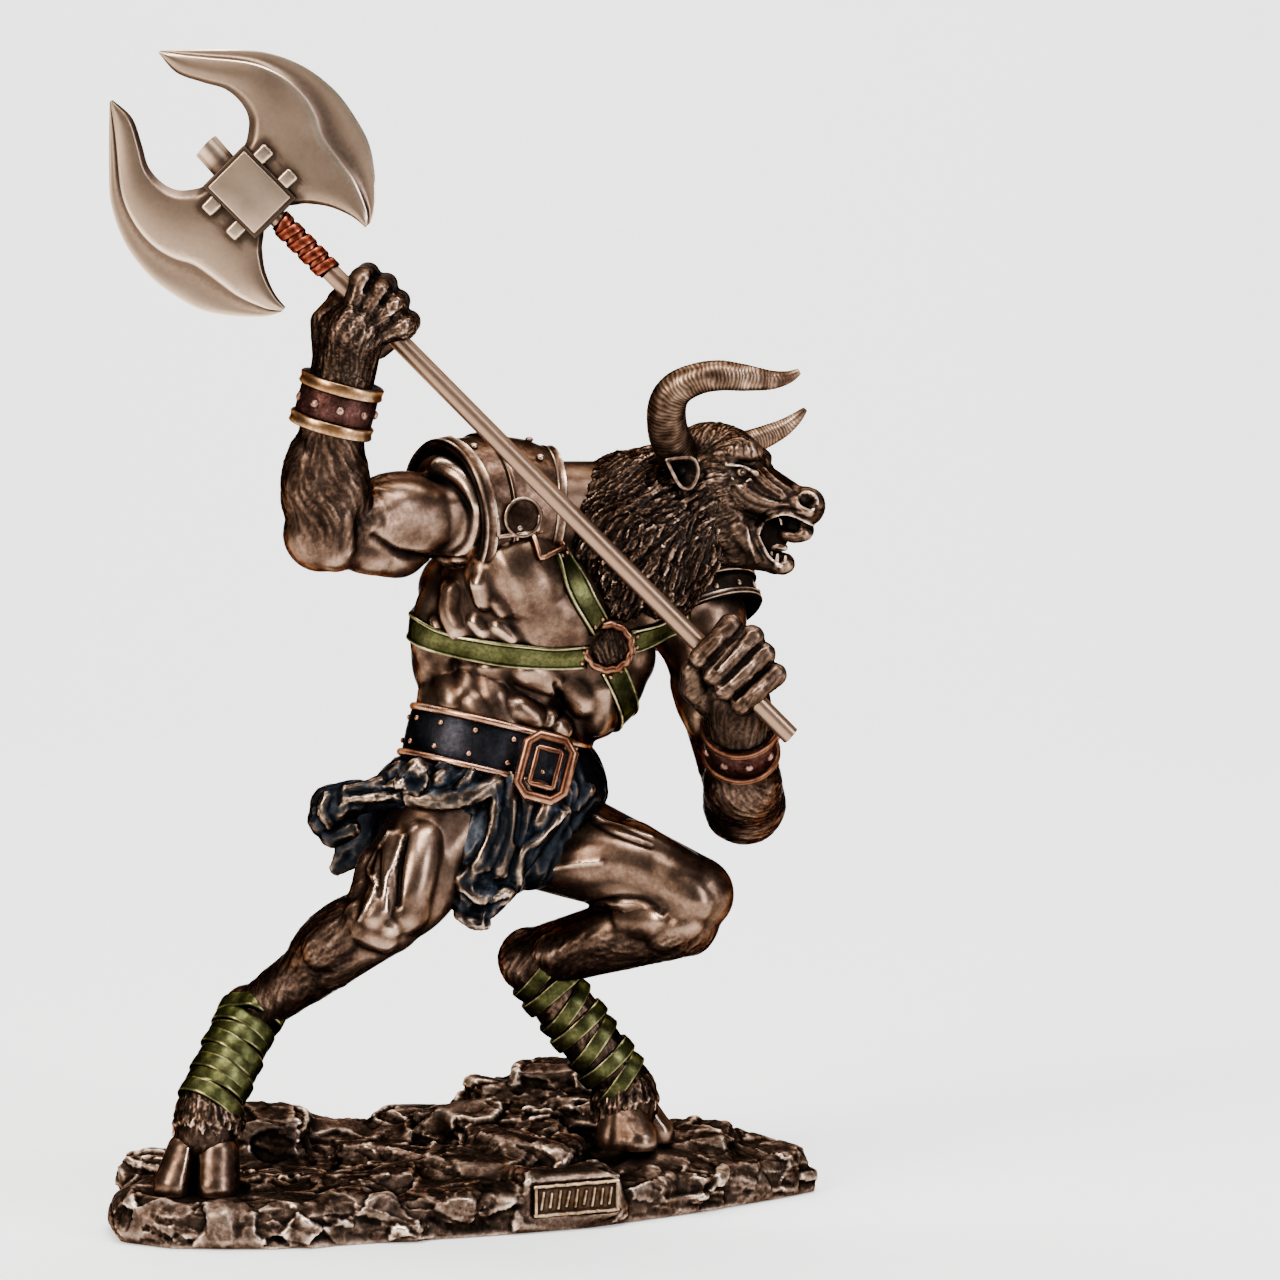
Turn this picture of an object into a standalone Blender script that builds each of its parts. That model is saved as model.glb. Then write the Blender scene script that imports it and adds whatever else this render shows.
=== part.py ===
"""Minotaur statuette: a bull-headed warrior in cold-cast bronze, lunging on a rock with a double axe.

The rock, the cast figure, the axe head, its shaft, the binding and the name plate are separate pieces.
X runs to the right of the front view, -Y is the front and +Z is up. The origin is the middle of the
rock's underside. The figure's pose and carving are written in pose units, where the figure is
POSE_HEIGHT tall from its front sole to its raised knuckles, so they follow FIGURE_HEIGHT.
"""

import math
import random

import bmesh
import bpy
from mathutils import Matrix, Vector
from mathutils.bvhtree import BVHTree

# Driving sizes, in metres
FIGURE_HEIGHT = 0.2315
ROCK_LENGTH = 0.178
ROCK_DEPTH = 0.100
ROCK_RIM = 0.0103
FRONT_PAD = 0.0098
SHAFT_DIAMETER = 0.0046
HEAD_REACH = 0.0364
BUTT_REACH = 0.0193
SOCKET_DEPTH = 0.0078
BLADE_SPAN = 0.0635
BLADE_LENGTH = 0.0645
BLADE_THICKNESS = 0.0032
EDGE_THICKNESS = 0.0008
BLOCK_LENGTH = 0.0178
BLOCK_WIDTH = 0.0140
BLOCK_THICKNESS = 0.0092
BINDING_DIAMETER = 0.0066
BINDING_CLEARANCE = 0.0010
PLATE_LENGTH = 0.0225
PLATE_HEIGHT = 0.0082
PLATE_THICKNESS = 0.0016
GAP = 0.0003

# The pose: its own height, the height of its front and rear soles, and the size of one pose unit
POSE_HEIGHT = 231.5
FRONT_SOLE = 10.0
REAR_SOLE = 14.5
UNIT = FIGURE_HEIGHT / POSE_HEIGHT

FRONT = Vector((0.0, -1.0, 0.0))
LEFT = Vector((1.0, 0.0, 0.0))
UP = Vector((0.0, 0.0, 1.0))


def at(x, y, z):
    """A point of the pose in metres, with the front sole just above its pad on the rock."""
    return Vector((x * UNIT, y * UNIT, FRONT_PAD + GAP + (z - FRONT_SOLE) * UNIT))


def shift(x, y, z):
    """A step of the pose in metres."""
    return Vector((x, y, z)) * UNIT


def clear_scene():
    for item in list(bpy.data.objects):
        bpy.data.objects.remove(item)


def new_collection(name):
    collection = bpy.data.collections.new(name)
    bpy.context.scene.collection.children.link(collection)
    return collection


clear_scene()
statue = new_collection("minotaur_statue")
cutters = new_collection("cutters")


def finish(name, red, green, blue, roughness, metallic):
    material = bpy.data.materials.new(name)
    material.use_nodes = True
    shader = material.node_tree.nodes["Principled BSDF"]
    shader.inputs["Base Color"].default_value = (red, green, blue, 1.0)
    shader.inputs["Roughness"].default_value = roughness
    shader.inputs["Metallic"].default_value = metallic
    return material


def add_object(name, form, material, collection=statue):
    """Turns a bmesh into a smooth-shaded object."""
    mesh = bpy.data.meshes.new(name)
    form.normal_update()
    bmesh.ops.recalc_face_normals(form, faces=form.faces)
    form.to_mesh(mesh)
    form.free()
    item = bpy.data.objects.new(name, mesh)
    collection.objects.link(item)
    if material:
        mesh.materials.append(material)
    mesh.shade_smooth()
    mesh.set_sharp_from_angle(angle=math.radians(35))
    return item


def add_cutter(name, form):
    cutter = add_object(name, form, None, cutters)
    cutter.hide_render = True
    cutter.display_type = "WIRE"
    return cutter


def cut(item, cutter):
    boolean = item.modifiers.new("cut " + cutter.name, "BOOLEAN")
    boolean.operation = "DIFFERENCE"
    boolean.object = cutter


def fuse(item, voxel, smoothing, share):
    """Joins overlapping forms into one skin, softens their creases and thins the facets."""
    remesh = item.modifiers.new("one skin", "REMESH")
    remesh.mode = "VOXEL"
    remesh.voxel_size = voxel
    soften = item.modifiers.new("soft creases", "SMOOTH")
    soften.factor = 0.5
    soften.iterations = smoothing
    thin = item.modifiers.new("facets", "DECIMATE")
    thin.ratio = share


def axes_along(direction, towards):
    """Square axes as matrix columns: across, out to the given side, and along the direction."""
    along = direction.normalized()
    if abs(along.dot(towards.normalized())) > 0.99:
        towards = Vector((towards.z, towards.x, towards.y))
    out = (towards - along * towards.dot(along)).normalized()
    across = out.cross(along)
    return Matrix((across, out, along)).transposed()


def ball(form, centre, across, out, along, direction=UP, towards=FRONT):
    """An ellipsoid with its long axis along a direction and its middle one out to a side."""
    axes = axes_along(direction, towards)
    for vert in bmesh.ops.create_icosphere(form, subdivisions=3, radius=1.0)["verts"]:
        reach = Vector((vert.co.x * across, vert.co.y * out, vert.co.z * along)) * UNIT
        vert.co = centre + axes @ reach


def limb(form, start, end, start_radius, end_radius, flat=1.0, towards=FRONT):
    """A tapered rod with round ends. flat thins it on the given side."""
    axes = axes_along(end - start, towards)
    for vert in bmesh.ops.create_icosphere(form, subdivisions=3, radius=1.0)["verts"]:
        far = vert.co.z > 0.0
        radius = (end_radius if far else start_radius) * UNIT
        reach = Vector((vert.co.x, vert.co.y * flat, vert.co.z)) * radius
        vert.co = (end if far else start) + axes @ reach


def run(form, points, radii, flat=1.0, towards=FRONT):
    """A chain of tapered rods through points."""
    for index in range(len(points) - 1):
        limb(form, points[index], points[index + 1], radii[index], radii[index + 1], flat, towards)


def muscle(form, start, end, share, length, width, depth, towards, lift):
    """A belly of muscle on a bone: where it sits along it, its size, and how far out it lies."""
    axes = axes_along(end - start, towards)
    middle = start.lerp(end, share) + axes.col[1] * lift * UNIT
    ball(form, middle, width, depth, length, end - start, towards)


def slab(form, centre, size, turn):
    """A box, turned by a matrix."""
    for vert in bmesh.ops.create_cube(form, size=1.0)["verts"]:
        stretched = Vector((vert.co.x * size[0], vert.co.y * size[1], vert.co.z * size[2]))
        vert.co = centre + turn @ stretched


def rod(form, start, end, radius, end_radius=None, segments=24):
    """A straight round bar with flat ends."""
    axes = axes_along(end - start, FRONT)
    length = (end - start).length
    bar = bmesh.ops.create_cone(form, cap_ends=True, segments=segments, radius1=radius,
                                radius2=radius if end_radius is None else end_radius, depth=length)
    middle = (start + end) / 2
    for vert in bar["verts"]:
        vert.co = middle + axes @ vert.co
    return bar["verts"]


# Joints of the pose. The raised arm is on the left of the front view, the figure's own right.
PELVIS = at(8, -5, 107)
WAIST = at(9, -6, 124)
RIBS = at(18, -3, 151)
NECK_BASE = at(36, -2, 172)
SKULL = at(61.5, -9, 188)
RAISED_SHOULDER = at(-2, -17, 178)
RAISED_ELBOW = at(-34, -40, 174)
RAISED_WRIST = at(-30, -46, 207)
LOW_SHOULDER = at(57.5, 8, 148)
LOW_ELBOW = at(69, -8, 104)
LOW_WRIST = at(67.5, -29, 124)
FRONT_HIP = at(-3, -14, 103)
FRONT_KNEE = at(-19.5, -32, 79)
FRONT_HOCK = at(-54.5, -10, 51)
FRONT_FETLOCK = at(-63.5, -26, 31)
REAR_HIP = at(18, 1, 95)
REAR_KNEE = at(57, -15, 82)
REAR_HOCK = at(15, 6, 62)
REAR_FETLOCK = at(39, 9, 29)
FRONT_HOOF = at(-66.5, -30.5, FRONT_SOLE)
FRONT_TOE = Vector((-0.1, -1.0, 0.0))
REAR_HOOF = at(42.5, 6.5, REAR_SOLE)
REAR_TOE = Vector((0.9, -0.42, 0.0))
HIGH_GRIP = at(-23.9, -40, 229.4)
LOW_GRIP = at(66.0, -39.5, 138.6)
FIST_REACH = 9.6
CHEST_UP = Vector((0.31, 0.03, 0.95))
CHEST_FRONT = Vector((0.40, -0.90, -0.10))
PELVIS_FRONT = Vector((0.57, -0.82, 0.0))
CHEST_LEFT = CHEST_UP.cross(CHEST_FRONT)
HEAD_FORWARD = Vector((0.93, -0.33, -0.15))
HEAD_UP = Vector((0.10, -0.20, 0.97))


def model_torso(form):
    """Ribcage, belly, chest and back muscles, over a broad pelvis."""
    ball(form, RIBS, 29, 21, 27, CHEST_UP, CHEST_FRONT)
    ball(form, at(31, -3, 137), 14, 15, 18, CHEST_UP, CHEST_FRONT)
    ball(form, WAIST, 23.5, 17.5, 18, CHEST_UP, CHEST_FRONT)
    ball(form, PELVIS, 23, 18, 15, UP, PELVIS_FRONT)
    for side in (-1, 1):
        pec = RIBS + CHEST_FRONT * 12 * UNIT + CHEST_UP * 7 * UNIT + CHEST_LEFT * side * 13 * UNIT
        ball(form, pec, 14, 9, 13, CHEST_UP, CHEST_FRONT)
        back = RIBS + CHEST_LEFT * side * 20.5 * UNIT - CHEST_UP * 3 * UNIT - CHEST_FRONT * 4 * UNIT
        ball(form, back, 9, 13, 25, CHEST_UP, CHEST_FRONT)
        blade = RIBS - CHEST_FRONT * 14 * UNIT + CHEST_LEFT * side * 13 * UNIT + CHEST_UP * 8 * UNIT
        ball(form, blade, 12, 8, 15, CHEST_UP, CHEST_FRONT)
        for row in range(3):
            belly = WAIST + CHEST_UP * (9 - 8 * row) * UNIT + CHEST_FRONT * (16.5 - 0.4 * row) * UNIT
            ball(form, belly + CHEST_LEFT * (5 + side * 5.2) * UNIT, 5.0, 3.6, 4.2, CHEST_UP, CHEST_FRONT)
            rib = RIBS + CHEST_UP * (-10 - 6 * row) * UNIT + CHEST_LEFT * side * (20 - row) * UNIT
            ball(form, rib + CHEST_FRONT * 11 * UNIT, 4.5, 3.5, 3.4, CHEST_UP, CHEST_FRONT)
    limb(form, RIBS + CHEST_UP * 17 * UNIT, NECK_BASE, 17, 15)
    limb(form, RAISED_SHOULDER, NECK_BASE + UP * 4 * UNIT, 12, 13)
    limb(form, LOW_SHOULDER, NECK_BASE, 11, 13)


def model_raised_arm(form):
    """The arm on the left of the front view, its fist held back with the shaft behind it."""
    ball(form, RAISED_SHOULDER, 13.5, 13.5, 14, RAISED_ELBOW - RAISED_SHOULDER)
    limb(form, RAISED_SHOULDER, RAISED_ELBOW, 12, 9)
    muscle(form, RAISED_SHOULDER, RAISED_ELBOW, 0.45, 15, 10, 10, UP, 3.0)
    muscle(form, RAISED_SHOULDER, RAISED_ELBOW, 0.5, 16, 10, 9, -UP, 4.5)
    ball(form, RAISED_ELBOW, 9.5, 9.5, 9.5)
    limb(form, RAISED_ELBOW, RAISED_WRIST, 9.5, 7.5)
    muscle(form, RAISED_ELBOW, RAISED_WRIST, 0.38, 15, 8.5, 8.5, -LEFT, 2.8)
    muscle(form, RAISED_ELBOW, RAISED_WRIST, 0.35, 13, 8, 8, LEFT, 2.6)
    rod(form, at(-30.6, -45, 200), at(-29.2, -46, 212), 10.2 * UNIT)
    palm = at(-26.5, -45.5, 222)
    limb(form, RAISED_WRIST, palm, 7.5, 8.5)
    knuckles = [at(-23.5, -47, 235.5), at(-19.2, -47, 233), at(-16.2, -47, 229), at(-13.8, -46, 224)]
    for knuckle in knuckles:
        limb(form, palm, knuckle, 5.2, 3.4)
        bend = knuckle + shift(1.0, 9.5, 1.0)
        limb(form, knuckle, bend, 3.4, 3.2)
        limb(form, bend, bend + shift(-7.5, 3, -6.5), 3.2, 3.0)
    run(form, [at(-31, -43, 214), at(-33, -38, 225), at(-28, -34, 231)], [4.8, 3.8, 3.2])


def model_low_arm(form):
    """The arm on the right of the front view, its fingers closed over the front of the shaft."""
    ball(form, LOW_SHOULDER, 12.5, 12.5, 13)
    limb(form, LOW_SHOULDER, LOW_ELBOW, 11, 8.5)
    muscle(form, LOW_SHOULDER, LOW_ELBOW, 0.5, 16, 9, 9, FRONT, 3.0)
    ball(form, LOW_ELBOW, 9.0, 9.5, 9.0)
    limb(form, LOW_ELBOW, LOW_WRIST, 10.5, 8.0)
    muscle(form, LOW_ELBOW, LOW_WRIST, 0.35, 12, 10, 9.5, -UP, 2.0)
    rod(form, at(67.9, -24.5, 118.5), at(67.3, -31.5, 126), 9.8 * UNIT)
    palm = at(66, -34.5, 136)
    limb(form, LOW_WRIST, palm, 7.5, 8.5)
    tips = [at(57.5, -44, 144.2), at(60.8, -45, 140.2), at(63.5, -45, 136.6), at(67.4, -44, 133.1)]
    tops = [at(64.8, -41, 151.6), at(70.1, -42, 149), at(72.8, -42, 144.9), at(75.5, -41, 139.7)]
    for tip, top in zip(tips, tops):
        limb(form, palm, top, 5.5, 3.2)
        limb(form, top, tip, 3.3, 2.9)
        limb(form, tip, tip + shift(1.5, 6, -1.0), 2.9, 2.6)
    run(form, [at(62, -33, 131), at(56, -38, 136), at(55.6, -41, 141)], [4.5, 3.6, 3.0])


def model_front_leg(form):
    """The leg stretched to the left of the front view, with its knee to the front."""
    limb(form, FRONT_HIP, FRONT_KNEE, 15.5, 9.5)
    muscle(form, FRONT_HIP, FRONT_KNEE, 0.55, 19, 9, 8, LEFT, 5.5)
    muscle(form, FRONT_HIP, FRONT_KNEE, 0.5, 20, 9, 8, -LEFT, 5.0)
    muscle(form, FRONT_HIP, FRONT_KNEE, 0.55, 19, 9, 8, FRONT, 5.0)
    ball(form, FRONT_KNEE, 8.0, 8.5, 9.0)
    limb(form, FRONT_KNEE, FRONT_HOCK, 9.5, 6.0)
    muscle(form, FRONT_KNEE, FRONT_HOCK, 0.28, 19, 10, 9.5, UP, 1.5)
    ball(form, FRONT_HOCK, 7.5, 7.5, 7.5)
    limb(form, FRONT_HOCK, FRONT_FETLOCK, 6.8, 7.4)
    model_hoof(form, FRONT_HOOF, FRONT_FETLOCK, FRONT_TOE)


def model_rear_leg(form):
    """The folded leg that carries the weight on the right of the front view."""
    limb(form, REAR_HIP, REAR_KNEE, 14.5, 9.5)
    muscle(form, REAR_HIP, REAR_KNEE, 0.42, 23, 11, 9.5, FRONT, 4.0)
    muscle(form, REAR_HIP, REAR_KNEE, 0.5, 22, 11, 9, UP, 2.5)
    ball(form, REAR_KNEE, 9.0, 9.0, 9.5)
    calf = REAR_KNEE + shift(-4, 1, -6)
    limb(form, calf, REAR_HOCK, 10.0, 7.5)
    muscle(form, calf, REAR_HOCK, 0.4, 20, 9, 8, -UP, 0.5)
    ball(form, REAR_HOCK, 8.0, 8.0, 8.5)
    limb(form, REAR_HOCK, REAR_FETLOCK, 7.6, 7.2)
    model_hoof(form, REAR_HOOF, REAR_FETLOCK, REAR_TOE)


def model_hoof(form, sole, fetlock, toe):
    """A cloven hoof: two flared toes under a tuft of hair, flat below."""
    toe = toe.normalized()
    side = toe.cross(UP)
    for half in (-1, 1):
        foot = sole + side * half * 4.9 * UNIT + UP * 2.0 * UNIT
        top = fetlock.lerp(sole, 0.55) + side * half * 3.6 * UNIT + toe * 1.0 * UNIT
        limb(form, top, foot + toe * 2.0 * UNIT, 5.2, 5.6)
        limb(form, top - toe * 3.0 * UNIT, foot - toe * 4.0 * UNIT, 5.0, 5.2)
    ball(form, fetlock.lerp(sole, 0.12), 9.0, 8.6, 7.0, UP, toe)


def model_head(form):
    """A bull's skull, muzzle and open jaws on a thick maned neck."""
    ball(form, at(43, -6, 171), 21, 19, 24, Vector((0.84, -0.08, 0.54)), FRONT)
    limb(form, NECK_BASE, at(57, -8, 181), 17, 14)
    limb(form, at(44, -12, 163), at(33, -16, 149), 13, 6)
    ball(form, SKULL, 11.5, 11.0, 12.5, HEAD_FORWARD, HEAD_UP)
    limb(form, at(67, -12, 184.5), at(82.5, -16.5, 177.6), 9.5, 6.2, 0.85, HEAD_UP)
    ball(form, at(84, -17, 178.5), 6.4, 5.2, 4.6, HEAD_FORWARD, HEAD_UP)
    ball(form, at(81.5, -16.5, 172.5), 5.2, 3.2, 5.0, HEAD_FORWARD, HEAD_UP)
    limb(form, at(60, -10, 175), at(77.0, -15.5, 164.8), 8.0, 3.6)
    for side in (-1, 1):
        brow = at(70, -11, 192) + Vector((0.32, 0.90, -0.25)) * side * 6.0 * UNIT
        ball(form, brow, 4.2, 3.2, 5.0, HEAD_FORWARD, HEAD_UP)
    limb(form, at(57, -17, 187), at(50.5, -24, 187.5), 4.2, 2.2, 0.6, UP)
    limb(form, at(61, 2, 185), at(60, 11, 184), 4.0, 2.0, 0.6, UP)
    near = [(52.5, -15, 192), (50, -21, 197), (49.6, -26, 204), (52, -28, 208.3), (57, -29, 210.8),
            (62.5, -29, 211.6), (68.5, -28, 211), (74.7, -27, 210.4), (79, -26, 211), (81.6, -26, 212.2)]
    run(form, [at(*point) for point in near], [5.4, 5.0, 4.6, 4.2, 3.8, 3.7, 3.3, 2.5, 1.8, 1.2])
    far = [(63, 1, 191), (67, 7, 191.5), (72, 10, 193.2), (76.1, 11.5, 194.8), (79.4, 12, 196.5),
           (82.4, 12, 198.8), (84.3, 11.5, 200.8)]
    run(form, [at(*point) for point in far], [4.6, 3.8, 3.1, 2.7, 2.2, 1.7, 1.2])


def model_clothes(form):
    """Belt and buckle, the knotted loincloth, two shoulder guards and the tied shanks."""
    belt_up = Vector((0.17, 0.12, 0.98)).normalized()
    belt = at(7.0, -6, 116.2)
    for vert in rod(form, belt - belt_up * 6.8 * UNIT, belt + belt_up * 6.8 * UNIT, UNIT, UNIT * 0.97, 40):
        reach = vert.co - belt
        height = reach.dot(belt_up)
        flat = reach - belt_up * height
        front = PELVIS_FRONT
        left = belt_up.cross(front)
        vert.co = belt + belt_up * height + left * flat.dot(left) * 23.5 + front * flat.dot(front) * 20.5
    slab(form, at(19.5, -27.5, 115.2), (13 * UNIT, 5 * UNIT, 15 * UNIT),
         axes_along(Vector((0.25, 0.2, 0.95)), FRONT).to_3x3())
    limb(form, at(4, -5, 109), at(-4, -6, 98), 22.5, 20, 0.9)
    limb(form, at(16, -5, 106), at(14, -8, 96), 19, 14, 0.95)
    run(form, [at(-8, -20, 107), at(-20, -20, 107), at(-30, -18, 106), at(-35, -17, 101)], [6, 5.5, 6.5, 5.0])
    run(form, [at(-35, -17, 101), at(-30, -19, 97.5)], [5.0, 3.5])
    run(form, [at(9, -24, 106), at(5, -27, 94), at(1, -28, 84)], [8.5, 8.0, 5.5], 0.6)
    run(form, [at(-4, -27, 84), at(3, -28, 79), at(8, -27, 84)], [3.6, 4.0, 3.6])
    run(form, [at(-20, 2, 102), at(-28, 3, 92), at(-33, 3, 86)], [8, 6, 2.5], 0.5)
    run(form, [at(20, -22, 104), at(14, -24, 94), at(8, -25, 86)], [5, 4.5, 3.5])
    guard = RAISED_SHOULDER + shift(6, -1, 3)
    for step, radius in ((0, 15.5), (7, 16.0), (14, 15.0)):
        ball(form, guard + shift(step, step * 0.25, step * 0.1), radius, radius, 5.0,
             Vector((0.91, 0.36, -0.18)), UP)
    ball(form, LOW_SHOULDER + shift(-1, 0, 2), 13.0, 13.5, 13.0)


def model_harness(form):
    """Flat straps laid on the chest and back, meeting at a ring over the breastbone."""
    skin = BVHTree.FromBMesh(form)
    ring = at(35, -26, 144.5)
    routes = [
        [at(17, -32, 180), at(24, -32, 170), at(29, -32, 157), ring],
        [ring, at(10, -34, 142), at(-12, -24, 147), at(-22, 0, 150), at(-8, 26, 156), at(18, 32, 152),
         at(44, 24, 146), at(60, 6, 140), at(54, -18, 147), ring],
        [ring, at(40, -28, 134), at(38, -24, 126)],
    ]
    for route in routes:
        points = []
        for start, end in zip(route[:-1], route[1:]):
            for step in range(5):
                points.append(skin.find_nearest(start.lerp(end, step / 5))[0])
        points.append(skin.find_nearest(route[-1])[0])
        middle = sum(points, Vector()) / len(points)
        for start, end in zip(points[:-1], points[1:]):
            if (end - start).length > 0.3 * UNIT:
                limb(form, start, end, 3.4, 3.4, 0.45, (start + end) / 2 - middle.lerp(RIBS, 0.8))
    ball(form, skin.find_nearest(ring)[0], 6.2, 2.6, 6.2, CHEST_UP, CHEST_FRONT)


def model_shaft():
    """The plain round shaft through both fists."""
    form = bmesh.new()
    rod(form, SHAFT_BUTT, SHAFT_TOP, SHAFT_DIAMETER / 2)
    add_object("axe_shaft", form, finish("satin_bronze", 0.50, 0.33, 0.23, 0.32, 1.0))
    hole = bmesh.new()
    reach = SHAFT_LINE * BLADE_LENGTH
    rod(hole, SHAFT_BUTT - reach, SHAFT_TOP + SHAFT_LINE * GAP, SHAFT_DIAMETER / 2 + GAP)
    return add_cutter("shaft_bore", hole)


def model_binding(bore):
    """Cord wound on the shaft under the axe head, cast as one sleeve of flat turns."""
    form = bmesh.new()
    start = HEAD_CENTRE - SHAFT_LINE * (BLOCK_LENGTH / 2 + GAP)
    end = HIGH_GRIP + SHAFT_LINE * (FIST_REACH * UNIT + BINDING_CLEARANCE)
    length = (start - end).length
    turns = 6
    pitch = length / turns
    lap = pitch * 0.08
    for turn in range(turns):
        low = start - SHAFT_LINE * (turn + 1) * pitch
        high = low + SHAFT_LINE * (pitch + (lap if turn else 0.0))
        rod(form, low, high, BINDING_DIAMETER / 2, BINDING_DIAMETER / 2 * 0.93, 16)
    sleeve = add_object("shaft_binding", form, finish("red_copper", 0.42, 0.10, 0.05, 0.45, 1.0))
    sleeve.data.shade_flat()
    join = bmesh.new()
    rod(join, end + SHAFT_LINE * pitch * 0.2, start - SHAFT_LINE * pitch * 0.2, BINDING_DIAMETER / 2 * 0.9, None, 16)
    core = add_cutter("binding_core", join)
    union = sleeve.modifiers.new("one sleeve", "BOOLEAN")
    union.operation = "UNION"
    union.object = core
    union.use_self = True
    cut(sleeve, bore)


def blade_point(edge, across):
    """A point of one blade's flat outline, from its lower tip to its horn, in shares of its size.

    The first value is along the shaft and the second is square to it. across is 0 on the inner edge
    and 1 on the cutting edge.
    """
    outer = [(-0.395, 0.454), (-0.36, 0.595), (-0.285, 0.753), (-0.19, 0.888), (-0.087, 0.958),
             (0.047, 0.998), (0.194, 0.951), (0.333, 0.813), (0.457, 0.583), (0.605, 0.262)]
    inner = [(-0.395, 0.44), (-0.329, 0.413), (-0.248, 0.346), (-0.18, 0.243), (-0.10, 0.10), (0.10, 0.10),
             (0.15, 0.27), (0.194, 0.378), (0.256, 0.425), (0.333, 0.413), (0.411, 0.328), (0.504, 0.239),
             (0.605, 0.255)]
    rim = along_outline(outer, edge)
    root = along_outline(inner, edge)
    return [root[axis] + (rim[axis] - root[axis]) * across for axis in (0, 1)]


def along_outline(points, share):
    """The place at a share of the way along a list of points."""
    place = share * (len(points) - 1)
    index = min(int(place), len(points) - 2)
    blend = place - index
    return [points[index][axis] * (1 - blend) + points[index + 1][axis] * blend for axis in (0, 1)]


def model_axe_head(bore):
    """Two crescent blades with hollow-ground edges on a square block, with a stub and four studs."""
    across = SHAFT_LINE.cross(FRONT).normalized()
    facing = across.cross(SHAFT_LINE).normalized()

    def place(along, aside, out):
        return HEAD_CENTRE + SHAFT_LINE * along + across * aside + facing * out

    form = bmesh.new()
    length_steps = 27
    width_steps = 3
    for side in (-1, 1):
        grid = bmesh.ops.create_grid(form, x_segments=length_steps, y_segments=width_steps, size=0.5)
        faces = list({face for vert in grid["verts"] for face in vert.link_faces})
        copy = bmesh.ops.duplicate(form, geom=faces)
        back = [item for item in copy["geom"] if isinstance(item, bmesh.types.BMVert)]
        for verts, front in ((grid["verts"], 1), (back, -1)):
            for vert in verts:
                edge = vert.co.x + 0.5
                share = vert.co.y + 0.5
                along, aside = blade_point(edge, share)
                bevel = max(0.0, share - 0.67) / 0.33
                thick = BLADE_THICKNESS + (EDGE_THICKNESS - BLADE_THICKNESS) * bevel
                vert.co = place(along * BLADE_LENGTH, side * aside * BLADE_SPAN / 2, front * thick / 2)
        sheets = {face for vert in grid["verts"] + back for face in vert.link_faces}
        rim = [line for line in {line for face in sheets for line in face.edges} if line.is_boundary]
        bmesh.ops.bridge_loops(form, edges=rim)
    head = add_object("axe_head", form, finish("pale_bronze", 0.55, 0.40, 0.30, 0.30, 1.0))
    body = bmesh.new()
    turn = Matrix((across, -facing, SHAFT_LINE)).transposed()
    slab(body, HEAD_CENTRE, (BLOCK_WIDTH, BLOCK_THICKNESS * 0.8, BLOCK_LENGTH), turn)
    block = add_cutter("axe_block", body)
    face = bmesh.new()
    slab(face, HEAD_CENTRE, (BLOCK_WIDTH * 0.86, BLOCK_THICKNESS, BLOCK_LENGTH * 0.87), turn)
    plate = add_cutter("axe_block_face", face)
    stub = bmesh.new()
    stub_radius = BLOCK_WIDTH * 0.24
    rod(stub, place(0.0, 0, 0), place(BLOCK_LENGTH / 2 + BLOCK_WIDTH * 0.43, 0, 0), stub_radius, None, 12)
    cap = add_cutter("axe_stub", stub)
    parts = [block, plate, cap]
    for side in (-1, 1):
        for end in (-1, 1):
            stud = bmesh.new()
            centre = place(end * BLOCK_LENGTH * 0.23, side * BLOCK_WIDTH * 0.6, 0)
            slab(stud, centre, (BLOCK_WIDTH * 0.3, BLOCK_THICKNESS * 0.7, BLOCK_LENGTH * 0.19), turn)
            parts.append(add_cutter(f"axe_stud_{side}_{end}", stud))
    for part in parts:
        union = head.modifiers.new("join " + part.name, "BOOLEAN")
        union.operation = "UNION"
        union.object = part
    cut(head, bore)
    return head


# The shaft's line through both fists, its ends beyond them, and the axe head at its top
SHAFT_LINE = (HIGH_GRIP - LOW_GRIP).normalized()
SHAFT_BUTT = LOW_GRIP - SHAFT_LINE * BUTT_REACH
SHAFT_TOP = HIGH_GRIP + SHAFT_LINE * HEAD_REACH
HEAD_CENTRE = SHAFT_TOP + SHAFT_LINE * (GAP + BLOCK_LENGTH / 2 - SOCKET_DEPTH)


def rock_point(x, y, z):
    """A point of the rock, in shares of half its length, half its depth and its rim height."""
    return Vector((x * ROCK_LENGTH / 2, y * ROCK_DEPTH / 2, z * ROCK_RIM))


def plate_place():
    """Where the name plate sits on the front of the rock, and the matrix that turns it there."""
    outward = Vector((0.37 * ROCK_LENGTH / 0.178, -0.93 * ROCK_DEPTH / 0.100, 0.0)).normalized()
    turn = Matrix(((-outward).cross(UP), -outward, UP)).transposed()
    return rock_point(0.30, -0.545, 0.80), outward, turn


def stack_rings(form, outline):
    """The ledge's own body: its outline at several heights, joined and capped."""
    rings = []
    for height, spread in ((-0.4, 0.985), (0.35, 1.0), (0.75, 0.985), (1.0, 0.93)):
        rings.append([form.verts.new(rock_point(x * spread, y * spread, height)) for x, y in outline])
    for low, high in zip(rings[:-1], rings[1:]):
        for index in range(len(outline)):
            after = (index + 1) % len(outline)
            form.faces.new((low[index], low[after], high[after], high[index]))
    form.faces.new(rings[0][::-1])
    form.faces.new(rings[-1])


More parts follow.
